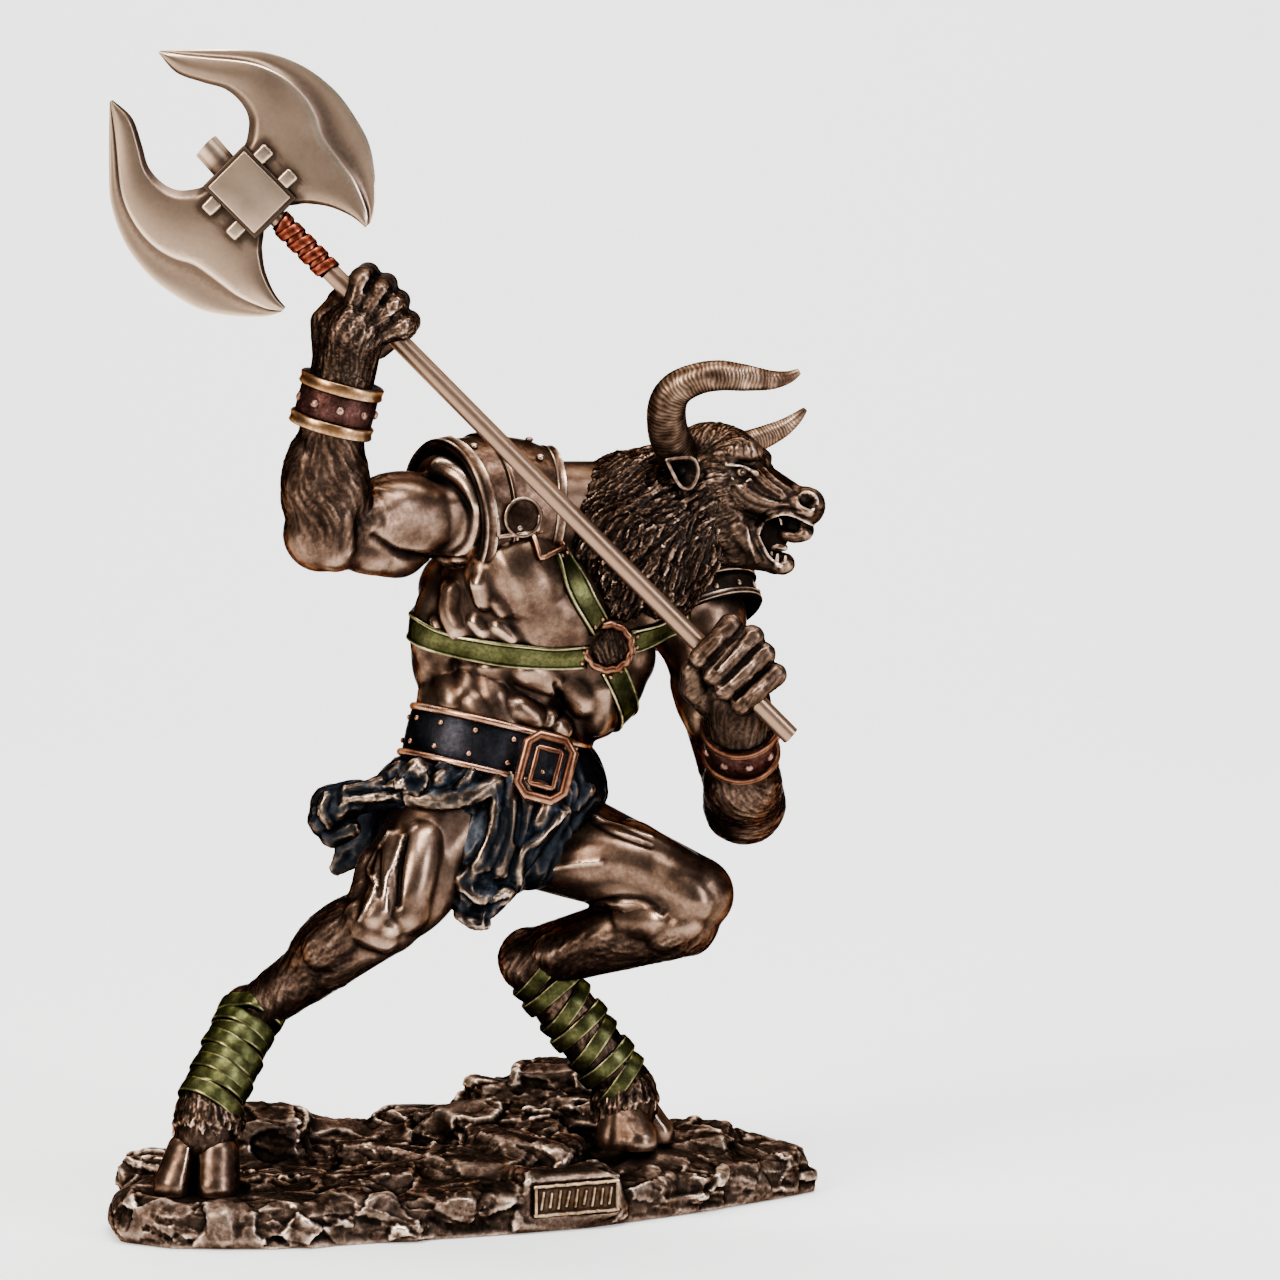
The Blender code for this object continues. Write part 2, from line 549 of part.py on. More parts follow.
def stone(form, centre, size, turn, chance):
    """A broken block: the hull of a box whose corners are each struck off in three directions."""
    corners = []
    for x in (-0.55, 0.55):
        for y in (-0.55, 0.55):
            for z in (-0.55, 0.55):
                for axis in range(3):
                    corner = Vector((x * size[0], y * size[1], z * size[2]))
                    corner[axis] *= chance.uniform(0.3, 0.95)
                    corners.append(form.verts.new(centre + turn @ corner))
    hull = bmesh.ops.convex_hull(form, input=corners)
    inside = {item for item in hull["geom_interior"] + hull["geom_unused"] if isinstance(item, bmesh.types.BMVert)}
    bmesh.ops.delete(form, geom=list(inside), context="VERTS")


def model_rock():
    """A low ledge of broken, layered rock, flat below, with a level pad under each hoof."""
    outline = [(-1.0, -0.50), (-0.955, -0.84), (-0.80, -0.99), (-0.52, -1.0), (-0.24, -0.86), (0.05, -0.71),
               (0.34, -0.52), (0.62, -0.20), (0.85, 0.12), (1.0, 0.36), (0.95, 0.60), (0.67, 0.76),
               (0.39, 0.92), (0.06, 1.0), (-0.28, 0.88), (-0.56, 0.72), (-0.80, 0.44), (-0.955, 0.0)]
    form = bmesh.new()
    stack_rings(form, outline)
    chance = random.Random(12)
    lumps = [(-0.62, 0.30, 0.22, 0.17, 2.0), (-0.48, 0.50, 0.20, 0.17, 1.55), (-0.86, -0.05, 0.16, 0.20, 1.35),
             (0.07, 0.76, 0.20, 0.16, 2.25), (0.24, 0.74, 0.17, 0.16, 2.75), (0.10, 0.30, 0.24, 0.22, 1.85),
             (0.18, 0.05, 0.22, 0.17, 1.6), (-0.14, 0.70, 0.22, 0.18, 1.65), (-0.30, -0.30, 0.27, 0.18, 1.15),
             (0.62, 0.42, 0.24, 0.18, 1.45), (0.82, 0.42, 0.19, 0.15, 1.15), (0.02, -0.15, 0.24, 0.18, 1.35),
             (-0.20, 0.25, 0.27, 0.21, 1.2), (0.34, 0.56, 0.20, 0.20, 2.1), (0.60, 0.10, 0.21, 0.14, 1.15),
             (-0.32, 0.56, 0.20, 0.17, 1.3), (-0.02, 0.52, 0.22, 0.18, 1.9)]
    for x, y, length, depth, top in lumps:
        spin = (Matrix.Rotation(chance.uniform(-0.5, 0.5), 3, "Z") @ Matrix.Rotation(chance.uniform(-0.2, 0.2), 3, "X")
                @ Matrix.Rotation(chance.uniform(-0.2, 0.2), 3, "Y"))
        size = (length * ROCK_DEPTH, depth * ROCK_DEPTH, top * ROCK_RIM * 1.3)
        stone(form, rock_point(x, y, top * 0.35), size, spin, chance)
    for chip in range(46):
        index = chance.randrange(len(outline))
        share = chance.random()
        inward = chance.uniform(0.62, 0.95)
        after = outline[(index + 1) % len(outline)]
        x = (outline[index][0] * (1 - share) + after[0] * share) * inward
        y = (outline[index][1] * (1 - share) + after[1] * share) * inward
        spin = Matrix.Rotation(chance.uniform(0, math.pi), 3, "Z") @ Matrix.Rotation(chance.uniform(-0.3, 0.3), 3, "X")
        size = Vector((chance.uniform(0.08, 0.16), chance.uniform(0.07, 0.13), chance.uniform(0.04, 0.09))) * ROCK_DEPTH
        stone(form, rock_point(x, y, chance.uniform(0.3, 0.85)), size, spin, chance)
    seat, outward, turn = plate_place()
    backing = (PLATE_LENGTH * 1.2, PLATE_HEIGHT * 1.6, PLATE_HEIGHT * 1.5)
    slab(form, seat - outward * backing[1] * 0.45, backing, turn)
    rock = add_object("rock_base", form, finish("bronze_rock", 0.16, 0.11, 0.085, 0.55, 1.0))
    fuse(rock, ROCK_RIM * 0.165, 2, 0.075)

    below = bmesh.new()
    slab(below, Vector((0, 0, -ROCK_RIM)), (ROCK_LENGTH * 2, ROCK_DEPTH * 2, ROCK_RIM * 2), Matrix.Identity(3))
    cut(rock, add_cutter("ground", below))
    front = bmesh.new()
    slab(front, seat + outward * PLATE_HEIGHT, (PLATE_LENGTH + 2 * GAP, PLATE_HEIGHT * 2,
                                                PLATE_HEIGHT + 2 * GAP), turn)
    cut(rock, add_cutter("plate_seat", front))
    return rock


def model_plate():
    """The name plate: a raised rim round rows of shallow strokes that spell nothing."""
    seat, outward, turn = plate_place()
    form = bmesh.new()
    middle = seat + outward * (GAP + PLATE_THICKNESS / 2)
    slab(form, middle, (PLATE_LENGTH, PLATE_THICKNESS, PLATE_HEIGHT), turn)
    plate = add_object("name_plate", form, finish("antique_bronze", 0.30, 0.21, 0.15, 0.42, 1.0))
    rim = PLATE_THICKNESS * 0.55
    carve = bmesh.new()
    panel = (PLATE_LENGTH - 2 * rim, PLATE_THICKNESS, PLATE_HEIGHT - 2 * rim)
    slab(carve, middle + outward * (PLATE_THICKNESS - rim * 0.5), panel, turn)
    cut(plate, add_cutter("plate_panel", carve))
    strokes = 8
    step = panel[0] / (strokes + 1)
    for number in range(strokes):
        stroke = bmesh.new()
        lean = Matrix.Rotation(math.radians(18 if number % 2 else -14), 3, outward)
        aside = turn.col[0] * (number + 1 - (strokes + 1) / 2) * step
        deep = middle + outward * (PLATE_THICKNESS / 2 - rim * 0.5) + aside
        slab(stroke, deep, (step * 0.22, rim * 0.5, panel[2] * 0.55), lean @ turn)
        cut(plate, add_cutter(f"plate_stroke_{number}", stroke))


def model_figure(bore):
    """The whole figure, cast in one."""
    form = bmesh.new()
    model_torso(form)
    model_harness(form)
    model_head(form)
    model_raised_arm(form)
    model_low_arm(form)
    model_front_leg(form)
    model_rear_leg(form)
    model_clothes(form)
    figure = add_object("minotaur_figure", form, finish("dark_bronze", 0.22, 0.14, 0.10, 0.38, 1.0))
    fuse(figure, 1.4 * UNIT, 3, 0.0605)
    cut(figure, bore)
    return figure


def split_hooves(figure):
    """Cleaves each hoof in front with a narrow wedge, open at the sole."""
    for name, sole, toe in (("front", FRONT_HOOF, FRONT_TOE), ("rear", REAR_HOOF, REAR_TOE)):
        toe = toe.normalized()
        side = toe.cross(UP)
        form = bmesh.new()
        corners = []
        for ahead in (4.5, 20.0):
            corners += [sole + (toe * ahead + side * half * 1.7 - UP) * UNIT for half in (-1, 1)]
        for ahead in (7.5, 20.0):
            corners.append(sole + (toe * ahead + UP * 13.5) * UNIT)
        bmesh.ops.convex_hull(form, input=[form.verts.new(corner) for corner in corners])
        cut(figure, add_cutter(name + "_cleft", form))


def level_hooves(figure, rock):
    """Cuts both soles flat and clears a level pad in the rock under each."""
    soles = ((at(-66.5, -31, FRONT_SOLE), 13.5, 13.0), (at(42.5, 6.0, REAR_SOLE), 13.5, 12.0))
    depth_below = 40.0 * UNIT
    room = 30.0 * UNIT
    for name, (sole, length, depth) in zip(("front", "rear"), soles):
        under = bmesh.new()
        slab(under, sole - UP * depth_below / 2, (length * 3 * UNIT, depth * 3 * UNIT, depth_below), Matrix.Identity(3))
        cut(figure, add_cutter(name + "_sole", under))
        over = bmesh.new()
        post = rod(over, sole - UP * GAP, sole + UP * (room - GAP), UNIT, UNIT, 24)
        for vert in post:
            vert.co.x = sole.x + (vert.co.x - sole.x) * length
            vert.co.y = sole.y + (vert.co.y - sole.y) * depth
        cut(rock, add_cutter(name + "_pad", over))


bore_cutter = model_shaft()
model_binding(bore_cutter)
model_axe_head(bore_cutter)
model_plate()
minotaur = model_figure(bore_cutter)
ledge = model_rock()
split_hooves(minotaur)
level_hooves(minotaur, ledge)
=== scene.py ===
import math
import random

import bmesh
import bpy
import numpy as np
from mathutils import Matrix, Vector, noise
from mathutils.bvhtree import BVHTree


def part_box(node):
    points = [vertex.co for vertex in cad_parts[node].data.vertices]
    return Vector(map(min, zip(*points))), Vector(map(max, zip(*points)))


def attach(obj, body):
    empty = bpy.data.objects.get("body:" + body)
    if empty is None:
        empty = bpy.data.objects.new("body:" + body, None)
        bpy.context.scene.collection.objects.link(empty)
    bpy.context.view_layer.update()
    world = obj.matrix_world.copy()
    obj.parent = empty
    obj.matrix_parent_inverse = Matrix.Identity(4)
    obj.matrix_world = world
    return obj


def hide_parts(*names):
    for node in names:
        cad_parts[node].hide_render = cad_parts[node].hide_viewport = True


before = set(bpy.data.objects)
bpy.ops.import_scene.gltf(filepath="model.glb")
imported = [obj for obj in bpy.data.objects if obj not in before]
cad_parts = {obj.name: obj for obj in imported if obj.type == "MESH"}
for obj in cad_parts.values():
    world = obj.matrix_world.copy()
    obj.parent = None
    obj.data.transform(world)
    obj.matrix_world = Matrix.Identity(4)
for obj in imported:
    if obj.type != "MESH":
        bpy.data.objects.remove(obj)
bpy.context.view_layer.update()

# The rock ledge: one casting in filled resin, flat below, with broken faces and cracked layers.
# Its skin is the CAD ledge cut finer, chipped into tilted facets, and rubbed bright on the edges.
MM = 0.001


def arrays(mesh):
    """A mesh's corner points, their normals and its edges."""
    points = np.empty(len(mesh.vertices) * 3)
    mesh.vertices.foreach_get("co", points)
    normals = np.empty(len(mesh.vertices) * 3)
    mesh.vertices.foreach_get("normal", normals)
    edges = np.empty(len(mesh.edges) * 2, dtype=np.int64)
    mesh.edges.foreach_get("vertices", edges)
    return points.reshape(-1, 3), normals.reshape(-1, 3), edges.reshape(-1, 2)


def spread(values, edges, rounds):
    """Averages values with their neighbours a number of times."""
    count = np.maximum(np.bincount(edges.ravel(), minlength=len(values)), 1.0)
    for _ in range(rounds):
        total = np.empty_like(values)
        for axis in range(values.shape[1]):
            column = values[:, axis]
            total[:, axis] = np.bincount(edges[:, 0], column[edges[:, 1]], len(values))
            total[:, axis] += np.bincount(edges[:, 1], column[edges[:, 0]], len(values))
        values = 0.5 * values + 0.5 * total / count[:, None]
    return values


def move_points(piece, points):
    piece.data.vertices.foreach_set("co", points.ravel())
    piece.data.update()


def mark_relief(piece, fine=0.10, broad=0.45, shift=0.0):
    """Stores how far each point stands proud, from 0 in a hollow to 1 on a crest. Sizes in mm."""
    points, normals, edges = arrays(piece.data)
    near = ((points - spread(points, edges, 5)) * normals).sum(1) / (fine * MM)
    wide = ((points - spread(points, edges, 30)) * normals).sum(1) / (broad * MM)
    value = np.clip(0.5 + shift + 0.32 * near + 0.22 * wide, 0.0, 1.0)
    layer = piece.data.attributes.new("relief_and_painted_light", "FLOAT", "POINT")
    layer.data.foreach_set("value", value.astype(np.float32))


def bake(piece):
    """Turns a piece's modifiers into its mesh."""
    graph = bpy.context.evaluated_depsgraph_get()
    mesh = bpy.data.meshes.new_from_object(piece.evaluated_get(graph))
    piece.modifiers.clear()
    old = piece.data
    piece.data = mesh
    bpy.data.meshes.remove(old)
    mesh.shade_smooth()


def relief_layer(form):
    """The layer of a form that holds how proud its points stand, and painted light and shade on the axe head and the
    eye, for pieces whose values are set one by one.
    """
    layers = form.verts.layers.float
    return layers.get("relief_and_painted_light") or layers.new("relief_and_painted_light")


def new_piece(name, form):
    mesh = bpy.data.meshes.new(name)
    form.normal_update()
    form.to_mesh(mesh)
    form.free()
    piece = bpy.data.objects.new(name, mesh)
    bpy.context.scene.collection.objects.link(piece)
    mesh.shade_smooth()
    return piece


def one_skin(name, form, voxel, rounds):
    """Joins overlapping forms into one smooth skin. voxel is the facet size in mm."""
    piece = new_piece(name, form)
    remesh = piece.modifiers.new("skin", "REMESH")
    remesh.mode = "VOXEL"
    remesh.voxel_size = voxel * MM
    soften = piece.modifiers.new("soften", "SMOOTH")
    soften.factor = 0.5
    soften.iterations = rounds
    bake(piece)
    return piece


def colour(code):
    """A linear colour from an sRGB hex code."""
    parts = [int(code[place:place + 2], 16) / 255 for place in (1, 3, 5)]
    return [part / 12.92 if part <= 0.04045 else ((part + 0.055) / 1.055) ** 2.4 for part in parts] + [1.0]


def node(tree, kind, links=(), **settings):
    """Adds a shader node with its settings, and links inputs from (input, output socket) pairs."""
    made = tree.nodes.new(kind)
    for name, value in settings.items():
        if name.startswith("in_"):
            key = name[3:]
            made.inputs[int(key) if key.isdigit() else key.replace("_", " ")].default_value = value
        else:
            setattr(made, name, value)
    for target, source in links:
        tree.links.new(source, made.inputs[target])
    return made


def bronze(name, stops, rough=(0.52, 0.30), grain=0.6, depth=0.04, mottle=0.35, tint=None):
    """Cold-cast bronze: a metal-filled resin, stained dark in its hollows and rubbed pale on its crests.

    stops are (value, hex colour) pairs; the value follows how proud a point stands, and on the axe head, the eye, the
    binding's sleeve and the wrapped shanks it also carries painted light and shade. grain and depth are the casting
    texture's size and depth in mm, and tint is a second colour that clouds into the first.
    """
    material = bpy.data.materials.new(name)
    material.use_nodes = True
    tree = material.node_tree
    shader = tree.nodes["Principled BSDF"]
    shader.inputs["Metallic"].default_value = 1.0
    shader.inputs["Specular Tint"].default_value = colour("#6b625c")
    place = node(tree, "ShaderNodeTexCoord").outputs["Object"]
    relief_and_painted_light = node(tree, "ShaderNodeAttribute", attribute_name="relief_and_painted_light").outputs["Fac"]
    clouds = node(tree, "ShaderNodeTexNoise", [("Vector", place)], in_Scale=1 / (9 * MM), in_Detail=5.0,
                  in_Roughness=0.6).outputs["Fac"]
    specks = node(tree, "ShaderNodeTexNoise", [("Vector", place)], in_Scale=1 / (1.1 * MM), in_Detail=4.0,
                  in_Roughness=0.65).outputs["Fac"]
    shift = node(tree, "ShaderNodeMath", [(0, specks)], operation="MULTIPLY_ADD", in_1=mottle,
                 in_2=-mottle / 2).outputs[0]
    height = node(tree, "ShaderNodeMath", [(0, relief_and_painted_light), (1, shift)], operation="ADD",
                  use_clamp=True).outputs[0]
    ramp = node(tree, "ShaderNodeValToRGB", [("Fac", height)])
    while len(ramp.color_ramp.elements) < len(stops):
        ramp.color_ramp.elements.new(0.5)
    for element, (position, code) in zip(ramp.color_ramp.elements, stops):
        element.position = position
        element.color = colour(code)
    base = ramp.outputs["Color"]
    if tint:
        cloud = node(tree, "ShaderNodeMapRange", [("Value", clouds)], in_1=0.42, in_2=0.62, in_4=0.75)
        base = node(tree, "ShaderNodeMix", [(0, cloud.outputs[0]), (6, base)], data_type="RGBA",
                    blend_type="MULTIPLY", in_7=colour(tint)).outputs[2]
    tree.links.new(base, shader.inputs["Base Color"])
    polish = node(tree, "ShaderNodeMapRange", [("Value", height)], in_1=0.25, in_2=0.8, in_3=rough[0],
                  in_4=rough[1]).outputs[0]
    haze = node(tree, "ShaderNodeMath", [(0, clouds), (2, polish)], operation="MULTIPLY_ADD", in_1=0.12)
    tree.links.new(haze.outputs[0], shader.inputs["Roughness"])
    fine = node(tree, "ShaderNodeTexNoise", [("Vector", place)], in_Scale=1 / (grain * MM), in_Detail=3.0)
    bump = node(tree, "ShaderNodeBump", [("Height", fine.outputs["Fac"])], in_Strength=0.6,
                in_Distance=depth * MM)
    tree.links.new(bump.outputs[0], shader.inputs["Normal"])
    return material


MANY_TRIANGLES = 40000
KEPT_SHARE = 0.58


def dress(piece, material, slot, *replaced):
    """Thins a dense piece, gives it its material, and lets it ride on the one body. slot is not used."""
    if len(piece.data.loops) - 2 * len(piece.data.polygons) > MANY_TRIANGLES:
        thin = piece.modifiers.new("thin", "DECIMATE")
        thin.ratio = KEPT_SHARE
        bake(piece)
    piece.data.materials.clear()
    piece.data.materials.append(material)
    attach(piece, "root")
    if replaced:
        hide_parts(*replaced)


def solid_noise(places):
    """Smooth random values from -1 to 1 at many places at once, one to a unit cell."""
    cell = np.floor(places).astype(np.int64)
    part = places - cell
    part = part * part * (3 - 2 * part)
    total = np.zeros(len(places))
    for x in (0, 1):
        for y in (0, 1):
            for z in (0, 1):
                key = (cell[:, 0] + x) * 73856093 ^ (cell[:, 1] + y) * 19349663 ^ (cell[:, 2] + z) * 83492791
                key = (key ^ (key >> 13)) * 1274126177
                value = ((key ^ (key >> 16)) & 65535) / 32767.5 - 1
                weight = np.abs(1 - x - part[:, 0]) * np.abs(1 - y - part[:, 1]) * np.abs(1 - z - part[:, 2])
                total += value * weight
    return total


def facets(points, cell, depth, seed, flat=1.0):
    """Tilted broken faces: each cell of a random pattern leans its own way. Sizes in mm."""
    moved = np.empty(len(points))
    offset = Vector((seed * 3.7, seed * 1.3, seed * 2.1))
    for index, point in enumerate(points):
        place = Vector(point) / (cell * MM)
        place.z *= flat
        place += noise.noise_vector(place * 0.8) * 0.25 + offset
        centre = noise.voronoi(place)[1][0]
        lean = noise.noise_vector(centre * 7.31)
        moved[index] = (place - centre).dot(lean) * 1.6 + noise.noise(centre * 3.3) * 0.8
    return moved * depth * MM


def bedding(points, thick, depth):
    """Thin layers of the stone, each broken back by its own amount. Sizes in mm."""
    moved = np.empty(len(points))
    for index, point in enumerate(points):
        place = Vector(point) / (11 * MM)
        centre = noise.voronoi(place + Vector((5, 9, 2)))[1][0]
        tilt = Vector((0.25, -0.12, 0.96)) + noise.noise_vector(centre * 2.9) * 0.25
        height = Vector(point).dot(tilt) / (thick * MM) + noise.noise(place * 1.3) * 0.8
        moved[index] = noise.noise(Vector((math.floor(height) * 1.71, centre.x * 3.1, centre.y * 3.7)))
    return moved * depth * 2 * MM


form = bmesh.new()
form.from_mesh(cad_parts["rock_base"].data)
bmesh.ops.remove_doubles(form, verts=form.verts, dist=0.02 * MM)
rock = one_skin("rock_ledge", form, 0.64, 3)
points, normals, edges = arrays(rock.data)
free = np.clip((points[:, 2] / MM - 0.4) / 1.6, 0, 1) * (normals[:, 2] > -0.85)
for x, y in ((-66.5, -31.0), (42.5, 6.0)):
    away = np.hypot(points[:, 0] / MM - x, points[:, 1] / MM - y)
    free *= np.clip((away - 12.5) / 3.0, 0.05, 1)
plate_low, plate_high = [Vector(corner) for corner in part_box("name_plate")]
plate_middle = (plate_low + plate_high) / 2
away = np.linalg.norm((points - np.array(plate_middle)) / MM * [1, 1, 1.6], axis=1)
free *= np.clip((away - 12.5) / 2.5, 0, 1)
carve = facets(points, 12.0, 1.9, 1, 1.5) + facets(points, 5.8, 0.4, 2, 1.4) + bedding(points, 1.7, 0.5)
carve += (solid_noise(points / (1.1 * MM)) * 0.12 + solid_noise(points / (3.0 * MM)) * 0.14) * MM
points += normals * (np.clip(carve, -2.2 * MM, 0.8 * MM) * free)[:, None]
points = points * (1 - 0.6 * free[:, None]) + spread(points, edges, 1) * 0.6 * free[:, None]
rock_low, rock_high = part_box("rock_base")
move_points(rock, np.clip(points, np.array(rock_low), np.array(rock_high)))
mark_relief(rock, 0.34, 1.0)
rock_bronze = bronze("rock_patina", [(0.0, "#060504"), (0.3, "#15100d"), (0.5, "#33271f"), (0.62, "#58453a"),
                                     (0.8, "#97806e"), (0.96, "#ecd2bb")], (0.5, 0.3), 0.5, 0.05, 0.42, "#7d7876")
dress(rock, rock_bronze, "bronze_rock", "rock_base")

# The bare body: torso, arms and fists, cast in one with the figure and hollow-free. The modeller's
# muscles are raised over the CAD forms, and the skin is burnished bright over a dark bronze stain.
UP = Vector((0.0, 0.0, 1.0))
FRONT = Vector((0.0, -1.0, 0.0))
LEFT = Vector((1.0, 0.0, 0.0))
EYE = Vector((43, 0, 144)) + Vector((0, -math.cos(math.radians(6)), math.sin(math.radians(6)))) * 1300


def at(x, y, z):
    """A point of the pose, in mm from the middle of the rock's underside."""
    return Vector((x, y, z + 0.1)) * MM


def axes_along(direction, towards):
    """Square axes as matrix columns: across, out to the given side, and along the direction."""
    along = direction.normalized()
    if abs(along.dot(towards.normalized())) > 0.99:
        towards = Vector((towards.z, towards.x, towards.y))
    out = (towards - along * towards.dot(along)).normalized()
    return Matrix((out.cross(along), out, along)).transposed()


def ball(form, centre, across, out, along, direction=UP, towards=FRONT, detail=4):
    """An ellipsoid, its half sizes in mm, with its long axis along a direction."""
    axes = axes_along(direction, towards)
    made = bmesh.ops.create_icosphere(form, subdivisions=detail, radius=1.0)["verts"]
    for vert in made:
        vert.co = centre + axes @ Vector((vert.co.x * across, vert.co.y * out, vert.co.z * along)) * MM
    return made


def limb(form, start, end, start_radius, end_radius, flat=1.0, towards=FRONT, detail=4):
    """A tapered rod with round ends. flat thins it on the given side."""
    axes = axes_along(end - start, towards)
    for vert in bmesh.ops.create_icosphere(form, subdivisions=detail, radius=1.0)["verts"]:
        far = vert.co.z > 0.0
        radius = (end_radius if far else start_radius) * MM
        reach = Vector((vert.co.x, vert.co.y * flat, vert.co.z)) * radius
        vert.co = (end if far else start) + axes @ reach


def run(form, points, radii, flat=1.0, towards=FRONT, detail=4):
    """A chain of tapered rods through points."""
    for index in range(len(points) - 1):
        limb(form, points[index], points[index + 1], radii[index], radii[index + 1], flat, towards, detail)


def muscle(form, start, end, share, length, width, depth, towards, lift):
    """A belly of muscle on a bone: where it sits along it, its half sizes, and how far out it lies."""
    axes = axes_along(end - start, towards)
    ball(form, start.lerp(end, share) + axes.col[1] * lift * MM, width, depth, length, end - start, towards)


def skin_of(piece):
    return BVHTree.FromPolygons([vert.co for vert in piece.data.vertices],
                                [face.vertices for face in piece.data.polygons])


def seen(skin, across, up):
    """The point of a skin that shows at a place of the front view.

    The view is measured in quarter millimetres from its top left corner, with its middle at 640, 640.
    """
    tilt = math.radians(6)
    aim = Vector((43, 0, 144)) + Vector((1, 0, 0)) * (across - 640) / 4
    aim += Vector((0, math.sin(tilt), math.cos(tilt))) * (640 - up) / 4
    ray = (aim - EYE).normalized()
    hit = skin.ray_cast(EYE * MM, ray)[0]
    return hit if hit else skin.find_nearest(aim * MM)[0]


def curve_at(line, share):
    """A place along a smooth line through points, by share of its length in points."""
    place = share * (len(line) - 1)
    start = min(int(place), len(line) - 2)
    part = place - start
    a, b = np.array(line[start]), np.array(line[start + 1])
    before = np.array(line[max(start - 1, 0)])
    after = np.array(line[min(start + 2, len(line) - 1)])
    return 0.5 * ((2 * a) + (b - before) * part + (2 * before - 5 * a + 4 * b - after) * part ** 2
                  + (3 * a - before - 3 * b + after) * part ** 3)


def trace(skin, path, step):
    """Points of a skin along a smooth path traced on the front view, about a step of some mm apart."""
    if len(path) == 1:
        return [seen(skin, *path[0])]
    reach = sum(math.dist(start, end) for start, end in zip(path[:-1], path[1:])) / 4
    count = max(len(path), int(reach / step) + 1)
    return [seen(skin, *curve_at(path, number / count)) for number in range(count + 1)]


def away_from(points, path, reach):
    """How far points near a path are from it, in mm, and which points they are."""
    path = [np.array(place) for place in path]
    if len(path) == 1:
        path = path * 2
    low = np.min(path, axis=0) - reach * MM
    high = np.max(path, axis=0) + reach * MM
    near = np.nonzero(((points > low) & (points < high)).all(1))[0]
    best = np.full(len(near), 1e9)
    for start, end in zip(path[:-1], path[1:]):
        span = end - start
        share = np.clip((points[near] - start) @ span / max(span @ span, 1e-12), 0, 1)
        gap = points[near] - start - share[:, None] * span
        best = np.minimum(best, (gap ** 2).sum(1))
    return np.sqrt(best) / MM, near


def raise_muscles(piece, muscles, soften=2):
    """Domes over paths, meeting in creases. Each has its half width and height in mm, then its path.

    A path's places are on the front view, or points in space.
    """
    skin = skin_of(piece)
    points, normals, edges = arrays(piece.data)
    lift = np.zeros(len(points))
    for width, height, *path in muscles:
        course = path if isinstance(path[0], Vector) else trace(skin, path, max(width / 2, 1.0))
        gap, near = away_from(points, course, width)
        dome = height * np.clip(1 - (gap / width) ** 2, 0, 1)
        lift[near] = np.maximum(lift[near], dome)
    points = points + normals * (lift * MM)[:, None]
    move_points(piece, spread(points, edges, soften))


def score(piece, strokes):
    """Soft ridges, and grooves where the height is negative: width and height in mm, then the path."""
    skin = skin_of(piece)
    points, normals, edges = arrays(piece.data)
    lift = np.zeros(len(points))
    for width, height, *path in strokes:
        course = path if isinstance(path[0], Vector) else trace(skin, path, max(width, 0.8))
        gap, near = away_from(points, course, width * 2.5)
        change = np.exp(-(gap / width) ** 2) * height
        lift[near] = np.where(np.abs(change) > np.abs(lift[near]), change, lift[near])
    move_points(piece, points + normals * (lift * MM)[:, None])


def flow_at(places, keys, wave=0.0, pitch=9.0):
    """The lie of the hair at many places, blended from keys. Each key is a point and a direction."""
    lie = np.zeros((len(places), 3))
    for point, direction in keys:
        weight = 1 / (((places - np.array(point)) ** 2).sum(1) / MM ** 2 + 6.0) ** 2
        lie += weight[:, None] * np.array(Vector(direction).normalized())
    lie /= np.maximum(np.linalg.norm(lie, axis=1), 1e-12)[:, None]
    if wave:
        turn = np.stack([solid_noise(places / (pitch * MM) + shift) for shift in (0.0, 31.7, 57.1)], axis=1)
        lie += turn * wave
        lie /= np.linalg.norm(lie, axis=1)[:, None]
    return lie


def strands(points, normals, keys, width, length, wave=0.0, seed=0):
    """Streaks of hair that follow the flow: random values smeared along it, from -1 to 1."""
    steps = 9
    total = np.zeros(len(points))
    for way in (-1, 1):
        place = points.copy()
        for step in range(steps):
            total += solid_noise(place / (width * MM) + seed * 17.3) * (1 - step / steps)
            lie = flow_at(place, keys, wave)
            lie -= normals * (lie * normals).sum(1)[:, None]
            lie /= np.maximum(np.linalg.norm(lie, axis=1), 1e-9)[:, None]
            place = place + lie * way * length * MM / steps
    return np.clip(total / (total.std() * 2.2), -1, 1)


def fur(piece, mask, keys, width=0.8, length=5.0, height=0.35, wave=0.25):
    """Short hair: sharp-topped streaks raised where the mask, from 0 to 1, allows."""
    points, normals, edges = arrays(piece.data)
    near = mask > 0.02
    fine = strands(points[near], normals[near], keys, width, length, wave, 1)
    locks = strands(points[near], normals[near], keys, width * 2.3, length * 1.5, wave, 2)
    lift = np.zeros(len(points))
    lift[near] = (0.5 - np.abs(fine)) * height + (np.abs(locks) - 0.4) * height * 1.4
    move_points(piece, points + normals * (lift * mask * MM)[:, None])


CHEST_UP = Vector((0.31, 0.03, 0.95))
CHEST_FRONT = Vector((0.40, -0.90, -0.10))
CHEST_LEFT = CHEST_UP.cross(CHEST_FRONT)
RIBS = at(18, -3, 151)
WAIST = at(9, -6, 124)
NECK_BASE = at(36, -2, 172)
HIGH_SHOULDER = at(-2, -17, 178)
HIGH_ELBOW = at(-34, -40, 174)
HIGH_WRIST = at(-30, -46, 207)
LOW_SHOULDER = at(57.5, 8, 148)
LOW_ELBOW = at(69, -8, 104)
LOW_WRIST = at(67.5, -29, 124)

